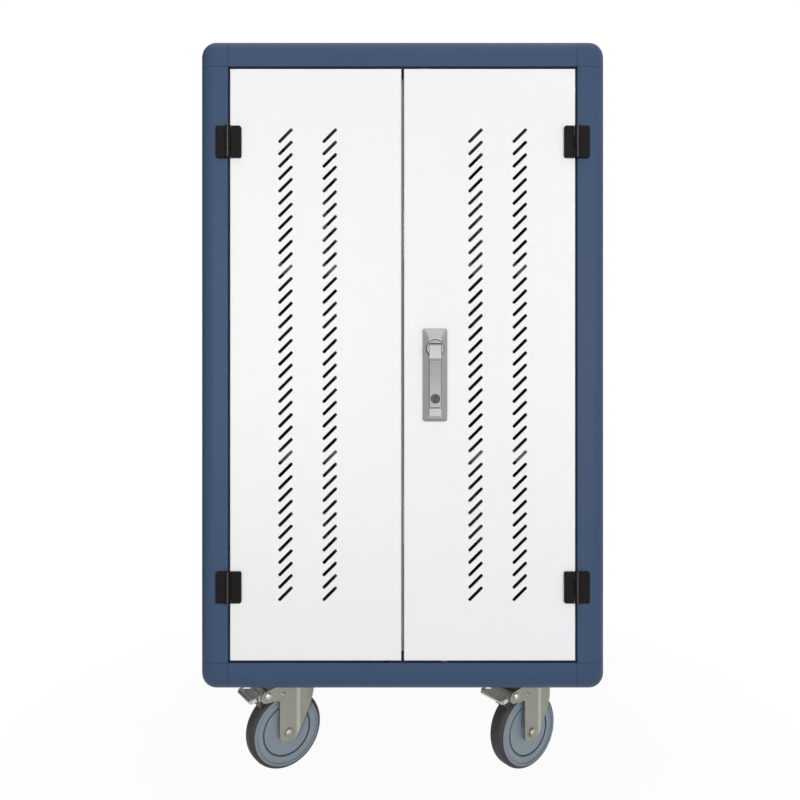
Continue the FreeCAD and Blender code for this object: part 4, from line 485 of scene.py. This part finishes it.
def flag(name, x, depth, height):
    """An upright black board, at x and over ranges of y and z, that only reflections see."""
    cloth = bare_material("black flag cloth")
    matt = add(cloth.node_tree, "ShaderNodeBsdfDiffuse", {"Color": linear("#0A0A0A")})
    add(cloth.node_tree, "ShaderNodeOutputMaterial", {"Surface": (matt, "BSDF")})
    corners = [(x, depth[i], height[j]) for i, j in ((0, 0), (1, 0), (1, 1), (0, 1))]
    made = piece(name, corners, [(0, 1, 2, 3)], cloth)
    made.visible_camera = made.visible_diffuse = made.visible_shadow = False


def seen_directly(tree):
    """Adds nodes to a tree and returns the last: its Value is 1 for what the camera or a reflection sees."""
    ray = add(tree, "ShaderNodeLightPath")
    return add(tree, "ShaderNodeMath", {
        0: (ray, "Is Camera Ray"), 1: (ray, "Is Glossy Ray")}, operation="MAXIMUM")


# The floor glows white where it is seen directly, and a small matt share near the cabinet keeps its shadow.
floor_half, shadow_near, shadow_far, glow_near = 6.0, 0.35, 0.9, 0.95
pale_floor = bare_material("pale studio floor")
tree = pale_floor.node_tree
place = add(tree, "ShaderNodeTexCoord")
away = add(tree, "ShaderNodeVectorMath", {0: (place, "Object")}, operation="LENGTH")
share = add(tree, "ShaderNodeMapRange", {
    "Value": (away, "Value"), "From Min": shadow_near, "From Max": shadow_far,
    "To Min": glow_near, "To Max": 1.0},
    interpolation_type="SMOOTHSTEP")
white = add(tree, "ShaderNodeMath", {
    0: (seen_directly(tree), "Value"), 1: (share, "Result")}, operation="MULTIPLY")
matt = add(tree, "ShaderNodeBsdfDiffuse", {"Color": linear("#E4E4E4")})
glow = add(tree, "ShaderNodeEmission", {"Strength": 1.0})
blend = add(tree, "ShaderNodeMixShader", {"Fac": (white, "Value"), 1: (matt, "BSDF"), 2: (glow, "Emission")})
add(tree, "ShaderNodeOutputMaterial", {"Surface": (blend, "Shader")})
floor_corners = [(x * floor_half, y * floor_half, 0) for x, y in ((-1, -1), (1, -1), (1, 1), (-1, 1))]
piece("floor", floor_corners, [(0, 1, 2, 3)], pale_floor)

# The surround is white where it is seen directly, and otherwise gives a little light from all sides.
surround_light = 0.16
world = bpy.data.worlds.new("studio")
bpy.context.scene.world = world
world.use_nodes = True
tree = world.node_tree
tree.nodes.clear()
level = add(tree, "ShaderNodeMapRange", {
    "Value": (seen_directly(tree), "Value"), "To Min": surround_light, "To Max": 1.0})
surround = add(tree, "ShaderNodeBackground", {"Strength": (level, "Result"), "Color": (1, 1, 1, 1)})
add(tree, "ShaderNodeOutputWorld", {"Surface": (surround, "Background")})

lamp("top_softbox", (0.1, -0.9, 2.9), (0.0, -0.5, 0.6), (2.0, 2.2), 13)
lamp("left_softbox", (-0.95, -3.6, 0.85), (0.0, -0.3, 0.55), (0.8, 2.2), 52)
lamp("right_softbox", (1.6, -3.4, 0.85), (0.0, -0.3, 0.55), (0.9, 2.2), 38)
lamp("right_strip", (2.4, -1.4, 1.1), (0.3, -0.2, 0.7), (0.6, 1.8), 4)
lamp("left_rear_softbox", (-2.0, 3.0, 1.0), (0.0, 0.2, 0.6), (1.6, 2.0), 50)
lamp("right_rear_softbox", (2.0, 3.0, 1.0), (0.0, 0.2, 0.6), (1.6, 2.0), 50)
flag("left_flag", -0.75, (-0.28, 1.6), (0.0, 1.7))
flag("right_flag", 0.95, (0.2, 1.6), (0.0, 1.7))

camera_data = bpy.data.cameras.new("camera")
camera_data.sensor_width = 36.0
camera_data.lens = 30.578
camera = bpy.data.objects.new("camera", camera_data)
bpy.context.scene.collection.objects.link(camera)
camera.location = (-0.004, -1.3016, 0.599)
camera.rotation_euler = (np.pi / 2, 0, 0)
bpy.context.scene.camera = camera
bpy.context.scene.view_settings.view_transform = "Standard"
